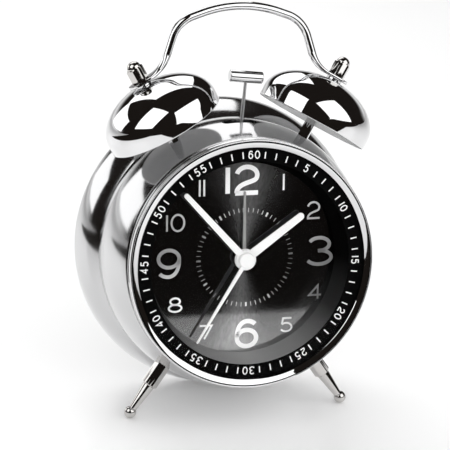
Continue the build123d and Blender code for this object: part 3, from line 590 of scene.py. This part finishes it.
def dial_finish():
    """Black lacquer over a sunburst, with painted sheen brighter towards twelve and six and stronger low on the
    dial, and a painted reflection at the rim towards five.
    """
    look = Look("dial_black", (0.004, 0.004, 0.004), 0.4, 1.0, Coat_Weight=1.0, Coat_Roughness=0.04, Coat_IOR=2.5)
    # Painted sheen in wedges towards twelve and six, broken up by radial streaks of the brushing
    ray = look.math("ABSOLUTE", look.math("COSINE", look.angle(PAINTED_SHEEN_TURN)))
    glow = look.math("POWER", ray, PAINTED_SHEEN_POWER)
    streaks = look.noise(0.03, 6.0, look.spin())
    shade = look.math("MULTIPLY", glow, look.spread(streaks, *PAINTED_SHEEN_LEVELS))
    # The painted sheen grows stronger low on the dial
    start, run_out = PAINTED_LOW_SHEEN
    below = look.math("SUBTRACT", look.math("MULTIPLY", look.along("Y"), -1.0), start)
    below = look.math("DIVIDE", look.math("MAXIMUM", below, 0.0), run_out)
    shade = look.math("MULTIPLY", shade, look.math("ADD", below, 1.0))
    # Painted reflection at the rim towards five o'clock
    across = look.math("MAXIMUM", look.math("COSINE", look.angle(PAINTED_RIM_ANGLE)), 0.0)
    start, run_out = PAINTED_RIM_REFLECTION
    rim = look.math("MAXIMUM", look.math("SUBTRACT", look.radius(), start), 0.0)
    rim = look.math("MULTIPLY", look.math("POWER", across, PAINTED_RIM_POWER), look.math("DIVIDE", rim, run_out))
    shade = look.math("ADD", shade, rim)
    look.blend(shade, PAINTED_SHEEN_PALE)
    return look.material


def wall_finish():
    """Black with painted light: grey painted at the foot of the dial, where it is lit from above."""
    look = Look("ring_painted_light", (0.004, 0.004, 0.004), 0.5, Specular_IOR_Level=0.0)
    look.shade_by_hour(WALL_PAINTED_LIGHT)
    look.vary_roughness(look.noise(0.2), 0.03)
    return look.material


def numeral_finish(name, painted_greys):
    """White print with painted sheen: bright where the dial's painted sheen is and painted grey to the sides."""
    look = Look(name, (0.95, 0.95, 0.95), 0.45)
    look.shade_by_hour(painted_greys)
    look.vary_roughness(look.noise(0.5), 0.05)
    return look.material


def crystal_finish():
    """Clear glass that lets light through to the dial, with a faint reflection."""
    material = bpy.data.materials.new("crystal")
    material.use_nodes = True
    tree = material.node_tree
    tree.nodes.clear()
    out = tree.nodes.new("ShaderNodeOutputMaterial")
    mix = tree.nodes.new("ShaderNodeMixShader")
    clear = tree.nodes.new("ShaderNodeBsdfTransparent")
    gloss = tree.nodes.new("ShaderNodeBsdfGlossy")
    gloss.inputs["Roughness"].default_value = 0.02
    fresnel = tree.nodes.new("ShaderNodeFresnel")
    fresnel.inputs["IOR"].default_value = 1.12
    tree.links.new(fresnel.outputs["Fac"], mix.inputs["Fac"])
    tree.links.new(clear.outputs["BSDF"], mix.inputs[1])
    tree.links.new(gloss.outputs["BSDF"], mix.inputs[2])
    tree.links.new(mix.outputs["Shader"], out.inputs["Surface"])
    return material


FINISH = {
    "chrome": chrome("chrome", 0.035),
    "crystal": crystal_finish(),
    "ring_black": plastic("ring_black", (0.003, 0.003, 0.003), 0.6, 8.0, 0.01, 0.0),
    # Dial with painted sheen and a painted reflection
    "dial_black": dial_finish(),
    "hand_white": paint("hand_white", (0.93, 0.93, 0.925), 0.4),
    "hand_grey": paint("hand_grey", (0.3, 0.3, 0.295), 0.35),
    "cover_black": plastic("cover_black", (0.015, 0.015, 0.0155), 0.48, 3.0, 0.06),
    "switch_grey": plastic("switch_grey", (0.42, 0.42, 0.43), 0.45),
    "cell": satin_metal("cell", (0.16, 0.2, 0.26), 0.35),
    "copper": satin_metal("copper", (0.72, 0.36, 0.18), 0.4),
    "board": plastic("board", (0.05, 0.22, 0.11), 0.4),
    "movement_white": plastic("movement_white", (0.82, 0.82, 0.8), 0.5),
    "wheel_white": plastic("wheel_white", (0.88, 0.86, 0.78), 0.35),
    # The dial nut's brass is coloured near black: painted shade beside the hand hub
    "brass": satin_metal("brass", (0.06, 0.055, 0.05), 0.45),
    "steel": satin_metal("steel", (0.6, 0.6, 0.62), 0.32),
}
CASE_CHROME = chrome("case_chrome", 0.12, (0.58, 0.58, 0.585))
ROD_CHROME = chrome("rod_chrome", 0.3)
# Ring wall with painted light at the foot of the dial
RING_PAINTED_LIGHT = wall_finish()
# Print with painted sheen that changes round the dial
NUMERAL = numeral_finish("numeral_painted_sheen", NUMERAL_PAINTED_SHEEN)
TRACK = numeral_finish("track_painted_sheen", TRACK_PAINTED_SHEEN)
PRINT = paint("print_white", (0.9, 0.9, 0.9), 0.5)
NICKEL = chrome("nickel", 0.07, (0.6, 0.585, 0.57))
BELL_INSIDE = paint("bell_inside", (0.9, 0.9, 0.9), 0.45)

for part in frame["record"]["subparts"]:
    mesh = frame["nodes"][part["node"]].data
    mesh.materials.clear()
    mesh.materials.append(FINISH[part["material_slot"]])
frame["nodes"]["hammer_rod"].data.materials[0] = ROD_CHROME


def chromed(name, mesh, matrix, nodes, body="case", sharp=SHARP, finish=None):
    return made(name, mesh, matrix, body, nodes, [finish or FINISH["chrome"]], sharp)


# Case

def front_case():
    spigot = CREASE_R - CASE_WALL - FIT
    outer = arc_through((FRONT_EDGE_R, NECK_Y), (FRONT_BULGE_R, BELL_Y), (CREASE_R, CREASE_Y), 48)
    inner = arc_through((FRONT_EDGE_R - CASE_WALL, NECK_Y + CASE_WALL), (FRONT_BULGE_R - CASE_WALL, BELL_Y),
                        (CREASE_R - CASE_WALL, CREASE_Y), 24)
    profile = [(NECK_R - SEAT_WIDTH, SEAT_Y), (NECK_R, SEAT_Y), (NECK_R, NECK_Y), *outer, (spigot, CREASE_Y),
               (spigot, CREASE_Y + CREASE_LAP), (spigot - CASE_WALL, CREASE_Y + CREASE_LAP),
               *reversed(inner), (NECK_R - CASE_WALL, NECK_Y + CASE_WALL), (NECK_R - CASE_WALL, SEAT_Y + CASE_WALL),
               (NECK_R - SEAT_WIDTH, SEAT_Y + CASE_WALL)]
    obj = chromed("front_case_shell", turned("front_case_shell", profile, FINE), BACKWARD, ["front_case"],
                  finish=CASE_CHROME)
    half = (SLOT_LENGTH - SLOT_WIDTH) / 2
    r = SLOT_WIDTH / 2
    outline = circle_arc(half, 0, r, r, -90, 90, 16) + circle_arc(-half, 0, r, r, 90, 270, 16)
    count = len(outline)
    verts = [(x, y, z) for z in (PIVOT_UP, FRONT_BULGE_R + 5) for x, y in outline]
    faces = [tuple(range(count)), tuple(range(count, 2 * count))]
    faces += walls(count)
    cutter = linked("slot_cutter", solid("slot_cutter", verts, faces))
    cutter.matrix_world = spoke(0)
    cut = obj.modifiers.new("slot", "BOOLEAN")
    cut.object = cutter
    bpy.context.view_layer.update()
    shape = bpy.data.meshes.new_from_object(obj.evaluated_get(bpy.context.evaluated_depsgraph_get()))
    obj.modifiers.clear()
    obj.data = shape
    shape.set_sharp_from_angle(angle=math.radians(SHARP))
    bpy.data.objects.remove(cutter)


def rear_case():
    rise = REAR_BULGE_R - CREASE_R
    bulge = ((REAR_BULGE_Y - CREASE_Y) ** 2 + rise ** 2) / (2 * rise)
    centre = REAR_BULGE_R - bulge
    roll = REAR_BULGE_R - REAR_ROLL_R
    rear = REAR_BULGE_Y + REAR_ROLL_R
    lap = CREASE_Y + CREASE_LAP
    spigot = CREASE_R - CASE_WALL

    def bulge_arc(radius, start, steps):
        ys = [start + (REAR_BULGE_Y - start) * k / steps for k in range(steps + 1)]
        return [(centre + math.sqrt(radius ** 2 - (REAR_BULGE_Y - y) ** 2), y) for y in ys]

    outer = bulge_arc(bulge, CREASE_Y, 40)
    outer += circle_arc(roll, REAR_BULGE_Y, REAR_ROLL_R, REAR_ROLL_R, 0, 90, 24)[1:]
    inner = bulge_arc(bulge - CASE_WALL, lap, 16)
    thin = REAR_ROLL_R - CASE_WALL
    inner += circle_arc(roll, REAR_BULGE_Y, thin, thin, 0, 90, 12)[1:]
    profile = [(spigot, lap), (spigot, CREASE_Y), *outer, (roll - REAR_LIP_WIDTH, rear),
               (roll - REAR_LIP_WIDTH, rear - CASE_WALL), *reversed(inner)]
    chromed("rear_case_shell", turned("rear_case_shell", profile, FINE), BACKWARD, ["rear_case"],
            finish=CASE_CHROME)


def bezel():
    """A wide bevel round the crystal, a groove and a bright outer bead, over a stepped side."""
    wall = NECK_R + FIT
    peak = BEZEL_INNER_R + BEVEL_WIDTH
    groove = circle_arc(peak + SEAM, BEZEL_PEAK_Y, SEAM, GROOVE_DEPTH, 180, 0, 8)
    bead_r = (BEZEL_R - peak - 2 * SEAM) / 2
    bead = circle_arc(BEZEL_R - bead_r, BEZEL_PEAK_Y + bead_r + FIT, bead_r, bead_r, -180, 0, 16)
    groove = [(r, 2 * BEZEL_PEAK_Y - y) if y < BEZEL_PEAK_Y else (r, y) for r, y in groove]
    step = (BEZEL_LIP_Y + SEAT_Y) / 2
    side = [(BEZEL_R - 0.08, step), (BEZEL_R - 0.5, step + 0.1), (BEZEL_R - 0.5, step + 0.6),
            (BEZEL_R, step + 0.75), (BEZEL_R, NECK_Y - 0.15), (BEZEL_R - 0.1, NECK_Y - 0.05)]
    face = arc_through((BEZEL_INNER_R, BEZEL_LIP_Y), ((BEZEL_INNER_R + peak) / 2, BEZEL_PEAK_Y + 0.36),
                       (peak, BEZEL_PEAK_Y), 12)
    profile = [(BEZEL_INNER_R, CRYSTAL_Y), *face, *groove[1:], *bead[1:], *side, (wall, NECK_Y - 0.05),
               (wall, SEAT_Y), (RING_OUTER_R + FIT, SEAT_Y), (RING_OUTER_R + FIT, CRYSTAL_Y)]
    mesh = turned("bezel_ring", profile, FINE)
    # The groove's faces take the black ring material: painted shade in the groove
    for ring in mesh.polygons:
        rho = math.hypot(ring.center.x, ring.center.y) / MM
        ring.material_index = int(peak < rho < peak + 2 * SEAM and ring.center.z < (BEZEL_PEAK_Y + 0.5) * MM)
    bezel = chromed("bezel_ring", mesh, BACKWARD, ["front_bezel"], sharp=50)
    bezel.data.materials.append(FINISH["ring_black"])


def dial():
    profile = [(RING_INNER_R, 0), (RING_OUTER_R, 0), (RING_OUTER_R, -SEAT_Y), (RING_INNER_R + DIAL_WALL, -SEAT_Y),
               (DIAL_R + DIAL_WALL, -DIAL_Y), (DIAL_R, -DIAL_Y)]
    mesh = turned("minute_ring", profile, FINE)
    # The ring's inner wall takes the material with painted light
    for face in mesh.polygons:
        rho = math.hypot(face.center.x, face.center.y)
        if rho < (RING_INNER_R + 0.1) * MM and face.normal.x * face.center.x + face.normal.y * face.center.y < 0:
            face.material_index = 1
    made("minute_ring", mesh, DIAL, "case", ["chapter_ring"], [FINISH["ring_black"], RING_PAINTED_LIGHT],
         flat=True)
    edge = DIAL_R + DIAL_WALL
    disc = [(BUSH_R, -DIAL_Y), (edge, -DIAL_Y), (edge, -DIAL_BACK_Y), (BUSH_R, -DIAL_BACK_Y)]
    made("sunburst_dial", turned("sunburst_dial", disc, FINE), DIAL, "case", ["dial_plate"],
         [FINISH["dial_black"]], flat=True)


# Printing

def loop(x, y, rx, ry):
    return circle_arc(x, y, rx, ry, 0, 360, 40)[:-1], True


def run(*points):
    return list(points), False


SIX_TAIL = curve((0.82, 0.86), (0.63, 1.06), (0.0, 1.12), (0.0, 0.36))
GLYPHS = {
    "0": (1.0, [loop(0.5, 0.5, 0.5, 0.5)]),
    "1": (0.0, [run((0, 0), (0, 1))]),
    "2": (1.0, [(circle_arc(0.5, 0.68, 0.46, 0.32, 168, -22)
                 + curve((0.93, 0.56), (0.8, 0.38), (0.05, 0.42), (0.03, 0.0))[1:], False),
                run((0.03 - 0.06, 0), (1, 0))]),
    "3": (1.1, [(circle_arc(0.55, 0.755, 0.45, 0.245, 155, -70) + [(0.5, 0.51)], False),
                ([(0.5, 0.51)] + circle_arc(0.55, 0.26, 0.54, 0.26, 75, -155), False)]),
    "4": (1.0, [run((0.72, 0), (0.72, 1), (0.02, 0.3), (1, 0.3))]),
    "5": (1.0, [([(0.9, 1), (0.22, 1), (0.12, 0.55)], False),
                (circle_arc(0.46, 0.32, 0.46, 0.32, 138, -150), False)]),
    "6": (0.88, [loop(0.44, 0.32, 0.44, 0.32), (SIX_TAIL, False)]),
    "7": (1.0, [run((0, 1), (0.96, 1), (0.36, 0))]),
    "8": (1.0, [loop(0.5, 0.755, 0.38, 0.245), loop(0.5, 0.26, 0.5, 0.26)]),
    "9": (0.88, [loop(0.44, 0.68, 0.44, 0.32), ([(0.88 - x, 1 - y) for x, y in SIX_TAIL], False)]),
}


def number(text, x, y, height, stroke, width, gap, turn=0.0):
    """Strokes of a number centred at x, y, turned clockwise."""
    tall = height - stroke
    wide = width - stroke
    advance = [GLYPHS[digit][0] * wide + stroke for digit in text]
    at = -(sum(advance) + gap * (len(text) - 1)) / 2
    a = math.radians(turn)
    s, c = math.sin(a), math.cos(a)
    strokes = []
    for digit, step in zip(text, advance):
        for points, closed in GLYPHS[digit][1]:
            flat = [(at + stroke / 2 + u * wide, (v - 0.5) * tall) for u, v in points]
            strokes.append(([(x + c * u + s * v, y - s * u + c * v) for u, v in flat], stroke, closed))
        at += step + gap
    return strokes


def ticks(shape, angles, turn, shift=(0, 0)):
    inner, outer, width = shape
    x, y = shift
    strokes = []
    for angle in angles:
        s, c = math.sin(math.radians(angle + turn)), math.cos(math.radians(angle + turn))
        strokes.append(([(x + inner * s, y + inner * c), (x + outer * s, y + outer * c)], width, False))
    return strokes


def dial_print():
    numerals = []
    x, y = DIAL_SHIFT
    for hour in range(1, 13):
        a = math.radians(30 * hour + DIAL_TURN)
        if hour % 3:
            rho = TEN_RHO if hour == 10 else SMALL_RHO
            height = LOW_HEIGHT if 3 < hour < 9 else SMALL_HEIGHT
            stroke, width, gap = SMALL_STROKE, SMALL_WIDTH, 1.4
        else:
            stroke = BIG_STROKE if hour % 6 == 0 else SIDE_STROKE
            rho, height, width, gap = BIG_RHO, BIG_HEIGHT, BIG_WIDTH, 0.8
        numerals += number(str(hour), x + rho * math.sin(a), y + rho * math.cos(a), height, stroke, width,
                           gap * stroke)
    minutes = [6 * k for k in range(60)]
    track = ticks(TRACK_TICK, [m for m in minutes if m % 30], DIAL_TURN, DIAL_SHIFT)
    track += ticks(TRACK_MARK, [m for m in minutes if not m % 30], DIAL_TURN, DIAL_SHIFT)
    labels = ticks(MINUTE_TICK, [m for m in minutes if m % 30], RING_TURN)
    for five in range(5, 61, 5):
        turn = 6 * five + RING_TURN
        a = math.radians(turn)
        labels += number(str(five), LABEL_RHO * math.sin(a), LABEL_RHO * math.cos(a), LABEL_HEIGHT, LABEL_STROKE,
                         LABEL_HEIGHT * 0.66, LABEL_STROKE * 1.5, turn)
    for name, strokes, depth, finish in (("hour_numerals", numerals, DIAL_Y, NUMERAL),
                                         ("inner_track", track, DIAL_Y, TRACK),
                                         ("minute_print", labels, 0.0, PRINT)):
        made(name, printing(name, strokes, depth), DIAL, "case", (), [finish], flat=True)


# Hands

def hand_outline(length, root, tip, hub):
    r = tip / 2
    rise = math.sqrt(hub ** 2 - (root / 2) ** 2)
    start = math.degrees(math.atan2(rise, root / 2))
    return circle_arc(0, 0, hub, hub, 180 - start, 360 + start, 48) + circle_arc(0, length - r, r, r, 0, 180, 16)


def hands():
    for name, (body, length, root, tip, hub, front, angle) in HANDS.items():
        slot = "hand_grey" if body == "alarm" else "hand_white"
        mesh = plate(name + "_blade", hand_outline(length, root, tip, hub), front, front + HAND_THICKNESS, HAND_EDGE)
        matrix = DIAL @ Matrix.Rotation(-math.radians(angle), 4, "Z")
        made(name + "_blade", mesh, matrix, body, [name], [FINISH[slot]])
    top = HANDS["second_hand"][5]
    edge = circle_arc(CAP_R - CAP_EDGE, CAP_Y + CAP_EDGE, CAP_EDGE, CAP_EDGE, -90, 0, 8)
    cap = [(0, CAP_Y), *edge, (CAP_R, top), (0, top)]
    made("hand_cap", turned("hand_cap", cap, 96), BACKWARD, "second", (), [FINISH["hand_white"]])


# Bells, posts, nuts and handle

def crown(inset=0.0):
    """Height of the bell's flat crown above its rim."""
    dome = BELL_HEIGHT - BELL_SKIRT - inset
    return BELL_SKIRT + dome * math.sqrt(1 - (CROWN_R / BELL_R) ** 2)


def bell_profile():
    dome = BELL_HEIGHT - BELL_SKIRT
    end = math.degrees(math.acos(CROWN_R / BELL_R))
    outer = circle_arc(0, BELL_SKIRT, BELL_R, dome, 0, end, 56)
    inner = circle_arc(0, BELL_SKIRT, BELL_R - BELL_WALL, dome - BELL_WALL, 0, end, 32)
    rim = circle_arc(BELL_R - BELL_WALL / 2, BELL_WALL / 2, BELL_WALL / 2, BELL_WALL / 2, -180, 0, 10)
    return [*rim, *outer, (STUD_R, outer[-1][1]), (STUD_R, inner[-1][1]), *reversed(inner)]


def acorn_profile():
    """Limits of the acorn nut's hexagon: a chamfered top and a domed cap."""
    corner = NUT_ACROSS / math.sqrt(3)
    body = ACORN_BODY
    dome = NUT_ACROSS * 0.46
    rise = ACORN_HEIGHT - body
    cap = arc_through((dome, body), (dome * 0.8, body + rise * 0.6), (0, ACORN_HEIGHT), 20)
    return [(0, 0), (corner * 0.94, 0), (corner, 0.25), (corner, body - 0.45), (NUT_ACROSS / 2 * 0.96, body),
            *cap[:-1], (0, ACORN_HEIGHT)]


def bell_set(side, name):
    angle = side * BELL_ANGLE
    foot = BELL_RIM_RHO + crown() + WASHER_THICKNESS
    mesh = turned(name + "_bell_dome", bell_profile(), 256)
    for face in mesh.polygons:
        face.material_index = int(face.normal.dot(face.center - Vector((0, 0, -BELL_SKIRT * MM))) < 0)
    dome = chromed(name + "_bell_dome", mesh, spoke(angle, BELL_RIM_RHO), [name + "_bell"])
    dome.data.materials.append(BELL_INSIDE)
    top = BELL_RIM_RHO + crown(BELL_WALL)
    corner = POST_ACROSS / math.sqrt(3)
    low = FRONT_BULGE_R - 0.6
    post = [(0, low), (corner, low), (corner, top - 0.3), (POST_ACROSS / 2, top - 0.02), (0, top - 0.02)]
    matrix = spoke(angle)
    turn = corner_angle(name + "_bell_post", matrix)
    chromed(name + "_post", turned(name + "_post", post, 96, POST_ACROSS / 2, turn), matrix, [name + "_bell_post"])
    matrix = spoke(angle, foot + HANDLE_THICKNESS)
    turn = corner_angle(name + "_acorn_nut", matrix)
    chromed(name + "_cap_nut", turned(name + "_cap_nut", acorn_profile(), 192, NUT_ACROSS / 2, turn), matrix,
            [name + "_acorn_nut"], sharp=NUT_SHARP, finish=NICKEL)
    ease = 0.2
    washer = [(STUD_R, foot - WASHER_THICKNESS), (WASHER_R - ease, foot - WASHER_THICKNESS),
              (WASHER_R, foot - WASHER_THICKNESS + ease), (WASHER_R, foot - ease), (WASHER_R - ease, foot),
              (STUD_R, foot)]
    return chromed(name + "_washer", turned(name + "_washer", washer, 96), spoke(angle), [])


def handle():
    """A round rod bent over the bells, its ends flattened under the nuts."""
    rho = BELL_RIM_RHO + crown() + WASHER_THICKNESS + HANDLE_THICKNESS / 2
    a = math.radians(BELL_ANGLE)

    def foot(side, inward):
        x = rho * math.sin(a) - inward * math.cos(a)
        return side * x, rho * math.cos(a) + inward * math.sin(a)

    x, y = HANDLE_SHOULDER
    corners = [foot(1, -HANDLE_FOOT_OUT), foot(1, HANDLE_FOOT_IN), (x, y), (0, HANDLE_APEX), (-x, y),
               foot(-1, HANDLE_FOOT_IN), foot(-1, -HANDLE_FOOT_OUT)]
    path = divided(rounded(corners, HANDLE_RADII, 40), 0.5)
    along = [0.0]
    for p, q in zip(path, path[1:]):
        along.append(along[-1] + math.dist(p, q))
    one, two = (Vector(q) - Vector(p) for p, q in zip(corners[:2], corners[1:3]))
    turn = one.angle(two)
    bend = HANDLE_RADII[0] * turn
    bend_start = HANDLE_FOOT_OUT + HANDLE_FOOT_IN - HANDLE_RADII[0] * math.tan(turn / 2)
    size = 48
    verts = []
    for k, point in enumerate(path):
        before, after = Vector(path[max(0, k - 1)]), Vector(path[min(len(path) - 1, k + 1)])
        way = (after - before).normalized()
        near = min(along[k], along[-1] - along[k]) + 0.02
        t = min(1, max(0, (near - bend_start) / bend))
        wide = HANDLE_FOOT_WIDTH / 2 + (HANDLE_R - HANDLE_FOOT_WIDTH / 2) * t
        thick = HANDLE_THICKNESS / 2 + (HANDLE_R - HANDLE_THICKNESS / 2) * t
        square = 1 / 3 + 2 / 3 * min(1, 2 * t)
        if near < wide:
            wide *= math.sqrt(1 - (1 - near / wide) ** 2)
        for m in range(size):
            c, s = math.cos(TAU * m / size), math.sin(TAU * m / size)
            u = wide * math.copysign(abs(c) ** square, c)
            v = thick * math.copysign(abs(s) ** square, s)
            verts.append((point[0] - way.y * v, point[1] + way.x * v, u - BELL_Y))
    faces = [tuple(range(size)), tuple(range(len(verts) - size, len(verts)))]
    for k in range(len(path) - 1):
        for m in range(size):
            n = (m + 1) % size
            faces.append((k * size + m, k * size + n, (k + 1) * size + n, (k + 1) * size + m))
    chromed("handle_rod", solid("handle_rod", verts, faces), DIAL, ["handle"])


# Legs

def leg(side, name):
    angle = 180 - side * LEG_ANGLE
    matrix = spoke(angle)
    turn = corner_angle(name + "_leg_sleeve", matrix)
    corner = SLEEVE_ACROSS / math.sqrt(3)
    low = FRONT_BULGE_R - 0.8
    sleeve = [(0, low), (corner, low), (corner, SLEEVE_RHO - 0.35), (SLEEVE_ACROSS / 2 * 0.97, SLEEVE_RHO),
              (0, SLEEVE_RHO)]
    chromed(name + "_sleeve", turned(name + "_sleeve", sleeve, 96, SLEEVE_ACROSS / 2, turn), matrix,
            [name + "_leg_sleeve"], sharp=NUT_SHARP, finish=NICKEL)
    neck = FOOT_RHO - math.sqrt(FOOT_R ** 2 - LEG_NECK_R ** 2)
    start = math.degrees(math.asin(LEG_NECK_R / FOOT_R))
    ball = [(FOOT_R * math.sin(math.radians(t)), FOOT_RHO - FOOT_R * math.cos(math.radians(t)))
            for t in (start + (180 - start) * k / 32 for k in range(33))]
    taper = [(0, SLEEVE_RHO), (LEG_TOP_R - 0.2, SLEEVE_RHO), (LEG_TOP_R, SLEEVE_RHO + 0.2),
             (LEG_TOP_R, SLEEVE_RHO + 0.9), (LEG_NECK_R, neck)]
    chromed(name + "_foot", turned(name + "_foot", taper + ball[1:], 96), matrix, [name + "_leg"],
            finish=NICKEL)


def hammer():
    swing = DIAL @ moved(0, PIVOT_UP, -BELL_Y) @ Matrix.Rotation(-math.radians(HAMMER_REST), 4, "Z")
    along = swing @ moved(0, HAMMER_REACH, 0) @ Matrix.Rotation(math.pi / 2, 4, "Y")
    half = HEAD_LENGTH / 2
    ease = 0.45
    end = circle_arc(HEAD_R - ease, half - ease, ease, ease, 0, 90, 8)
    profile = [(0, -half), *[(r, -z) for r, z in reversed(end)], *end, (0, half)]
    chromed("hammer_bar", turned("hammer_bar", profile, 96), along, ["hammer_head"], "hammer")


# Studio

def camera():
    back = direction(VIEW_AZIMUTH, VIEW_ELEVATION)
    data = bpy.data.cameras.new("camera")
    data.lens, data.sensor_width = VIEW_LENS, SENSOR_WIDTH
    obj = linked("camera", data)
    turn = (-back).to_track_quat("-Z", "Y").to_matrix().to_4x4() @ Matrix.Rotation(math.radians(VIEW_ROLL), 4, "Z")
    at = DIAL @ (Vector(VIEW_AT) * MM) + back * VIEW_DISTANCE * MM
    obj.matrix_world = Matrix.Translation(at) @ turn
    bpy.context.scene.camera = obj


def softbox(name, azimuth, elevation, width, height, shine, spill):
    """A white panel facing the clock, of one strength to shiny surfaces and another to matt ones."""
    way = direction(azimuth, elevation)
    mesh = bpy.data.meshes.new(name)
    w, h = width / 2, height / 2
    mesh.from_pydata([(-w, -h, 0), (w, -h, 0), (w, h, 0), (-w, h, 0)], [], [(0, 1, 2, 3)])
    obj = linked(name, mesh)
    material = bpy.data.materials.new(name)
    material.use_nodes = True
    tree = material.node_tree
    tree.nodes.clear()
    out = tree.nodes.new("ShaderNodeOutputMaterial")
    glow = tree.nodes.new("ShaderNodeEmission")
    path = tree.nodes.new("ShaderNodeLightPath")
    level = tree.nodes.new("ShaderNodeMapRange")
    level.inputs["To Min"].default_value = spill
    level.inputs["To Max"].default_value = shine
    tree.links.new(path.outputs["Is Glossy Ray"], level.inputs["Value"])
    tree.links.new(level.outputs["Result"], glow.inputs["Strength"])
    tree.links.new(glow.outputs["Emission"], out.inputs["Surface"])
    mesh.materials.append(material)
    turn = way.to_track_quat("Z", "Y").to_matrix().to_4x4()
    obj.matrix_world = Matrix.Translation(way * SOFTBOX_AWAY + Vector((0, 0, SOFTBOX_AIM))) @ turn
    obj.visible_camera = False
    return obj


def floor():
    mesh = bpy.data.meshes.new("floor")
    h = FLOOR_HALF
    mesh.from_pydata([(-h, -h, 0), (h, -h, 0), (h, h, 0), (-h, h, 0)], [], [(0, 1, 2, 3)])
    obj = linked("floor", mesh)
    material = bpy.data.materials.new("floor")
    material.use_nodes = True
    nodes, links = material.node_tree.nodes, material.node_tree.links
    shader = nodes["Principled BSDF"]
    shader.inputs["Base Color"].default_value = (FLOOR_TONE, FLOOR_TONE, FLOOR_TONE, 1)
    shader.inputs["Roughness"].default_value = FLOOR_ROUGHNESS
    out = nodes["Material Output"]
    place = nodes.new("ShaderNodeNewGeometry")
    apart = nodes.new("ShaderNodeSeparateXYZ")
    links.new(place.outputs["Position"], apart.inputs["Vector"])

    def past(axis, edge):
        soft = nodes.new("ShaderNodeMapRange")
        soft.inputs["From Min"].default_value = edge - TABLE_BLUR
        soft.inputs["From Max"].default_value = edge + TABLE_BLUR
        links.new(apart.outputs[axis], soft.inputs["Value"])
        return soft.outputs["Result"]

    def joined(operation, a, b):
        node = nodes.new("ShaderNodeMath")
        node.operation = operation
        for socket, given in zip(node.inputs, (a, b)):
            if given is None:
                socket.default_value = 1.0
            else:
                links.new(given, socket)
        return node.outputs["Value"]

    table = joined("MAXIMUM", past("X", TABLE_LEFT), past("Y", TABLE_BACK))
    table = joined("MULTIPLY", table, past("Y", TABLE_FRONT))
    path = nodes.new("ShaderNodeLightPath")
    seen = joined("MAXIMUM", path.outputs["Is Camera Ray"], path.outputs["Is Glossy Ray"])
    seen = joined("MAXIMUM", seen, path.outputs["Is Transmission Ray"])
    glow = nodes.new("ShaderNodeMath")
    glow.operation = "MULTIPLY"
    glow.inputs[1].default_value = FLOOR_GLOW
    links.new(seen, glow.inputs[0])
    shader.inputs["Emission Color"].default_value = (1, 1, 1, 1)
    links.new(glow.outputs["Value"], shader.inputs["Emission Strength"])
    hide = joined("MULTIPLY", joined("SUBTRACT", None, table), path.outputs["Is Glossy Ray"])
    dark = nodes.new("ShaderNodeEmission")
    dark.inputs["Color"].default_value = (*DARK_ROOM, 1)
    mix = nodes.new("ShaderNodeMixShader")
    links.new(hide, mix.inputs["Fac"])
    links.new(shader.outputs["BSDF"], mix.inputs[1])
    links.new(dark.outputs["Emission"], mix.inputs[2])
    links.new(mix.outputs["Shader"], out.inputs["Surface"])
    mesh.materials.append(material)


def world():
    """White to the camera, an even light for matt surfaces, and a dark room with a pale back for shiny ones."""
    world = bpy.data.worlds.new("studio")
    bpy.context.scene.world = world
    world.use_nodes = True
    nodes, links = world.node_tree.nodes, world.node_tree.links
    nodes.clear()
    out = nodes.new("ShaderNodeOutputWorld")
    path = nodes.new("ShaderNodeLightPath")
    place = nodes.new("ShaderNodeTexCoord")
    apart = nodes.new("ShaderNodeSeparateXYZ")
    links.new(place.outputs["Generated"], apart.inputs["Vector"])

    def span(socket, start, end, low, high):
        node = nodes.new("ShaderNodeMapRange")
        node.interpolation_type = "SMOOTHSTEP"
        for key, value in (("From Min", start), ("From Max", end), ("To Min", low), ("To Max", high)):
            node.inputs[key].default_value = value
        links.new(socket, node.inputs["Value"])
        return node.outputs["Result"]

    def product(a, b):
        node = nodes.new("ShaderNodeMath")
        node.operation = "MULTIPLY"
        links.new(a, node.inputs[0])
        links.new(b, node.inputs[1])
        return node.outputs["Value"]

    pale = product(span(apart.outputs["Y"], 0.3, 0.75, 0, 1), span(apart.outputs["Z"], 0.01, 0.2, 0.9, 0))
    tint = nodes.new("ShaderNodeMix")
    tint.data_type = "RGBA"
    room, back = [s for s in tint.inputs if s.type == "RGBA"]
    room.default_value, back.default_value = (*DARK_ROOM, 1), (1, 1, 1, 1)
    links.new(pale, tint.inputs["Factor"])
    shiny = nodes.new("ShaderNodeBackground")
    links.new([s for s in tint.outputs if s.type == "RGBA"][0], shiny.inputs["Color"])
    even = nodes.new("ShaderNodeBackground")
    even.inputs["Strength"].default_value = AMBIENT
    white = nodes.new("ShaderNodeBackground")
    white.inputs["Strength"].default_value = 1.0
    gloss = nodes.new("ShaderNodeMixShader")
    links.new(path.outputs["Is Glossy Ray"], gloss.inputs["Fac"])
    links.new(even.outputs["Background"], gloss.inputs[1])
    links.new(shiny.outputs["Background"], gloss.inputs[2])
    seen = nodes.new("ShaderNodeMixShader")
    links.new(path.outputs["Is Camera Ray"], seen.inputs["Fac"])
    links.new(gloss.outputs["Shader"], seen.inputs[1])
    links.new(white.outputs["Background"], seen.inputs[2])
    links.new(seen.outputs["Shader"], out.inputs["Surface"])


front_case()
rear_case()
bezel()
dial()
dial_print()
hands()
washers = []
for side, name in ((-1, "left"), (1, "right")):
    washers.append(bell_set(side, name))
    leg(side, name)
for washer in washers:
    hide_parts("handle_washers")
handle()
hammer()
camera()
floor()
for name, panel in SOFTBOXES.items():
    softbox(name, *panel)
softbox("fill", *FILL_PANEL).visible_glossy = False
world()
bpy.context.scene.view_settings.view_transform = "Standard"
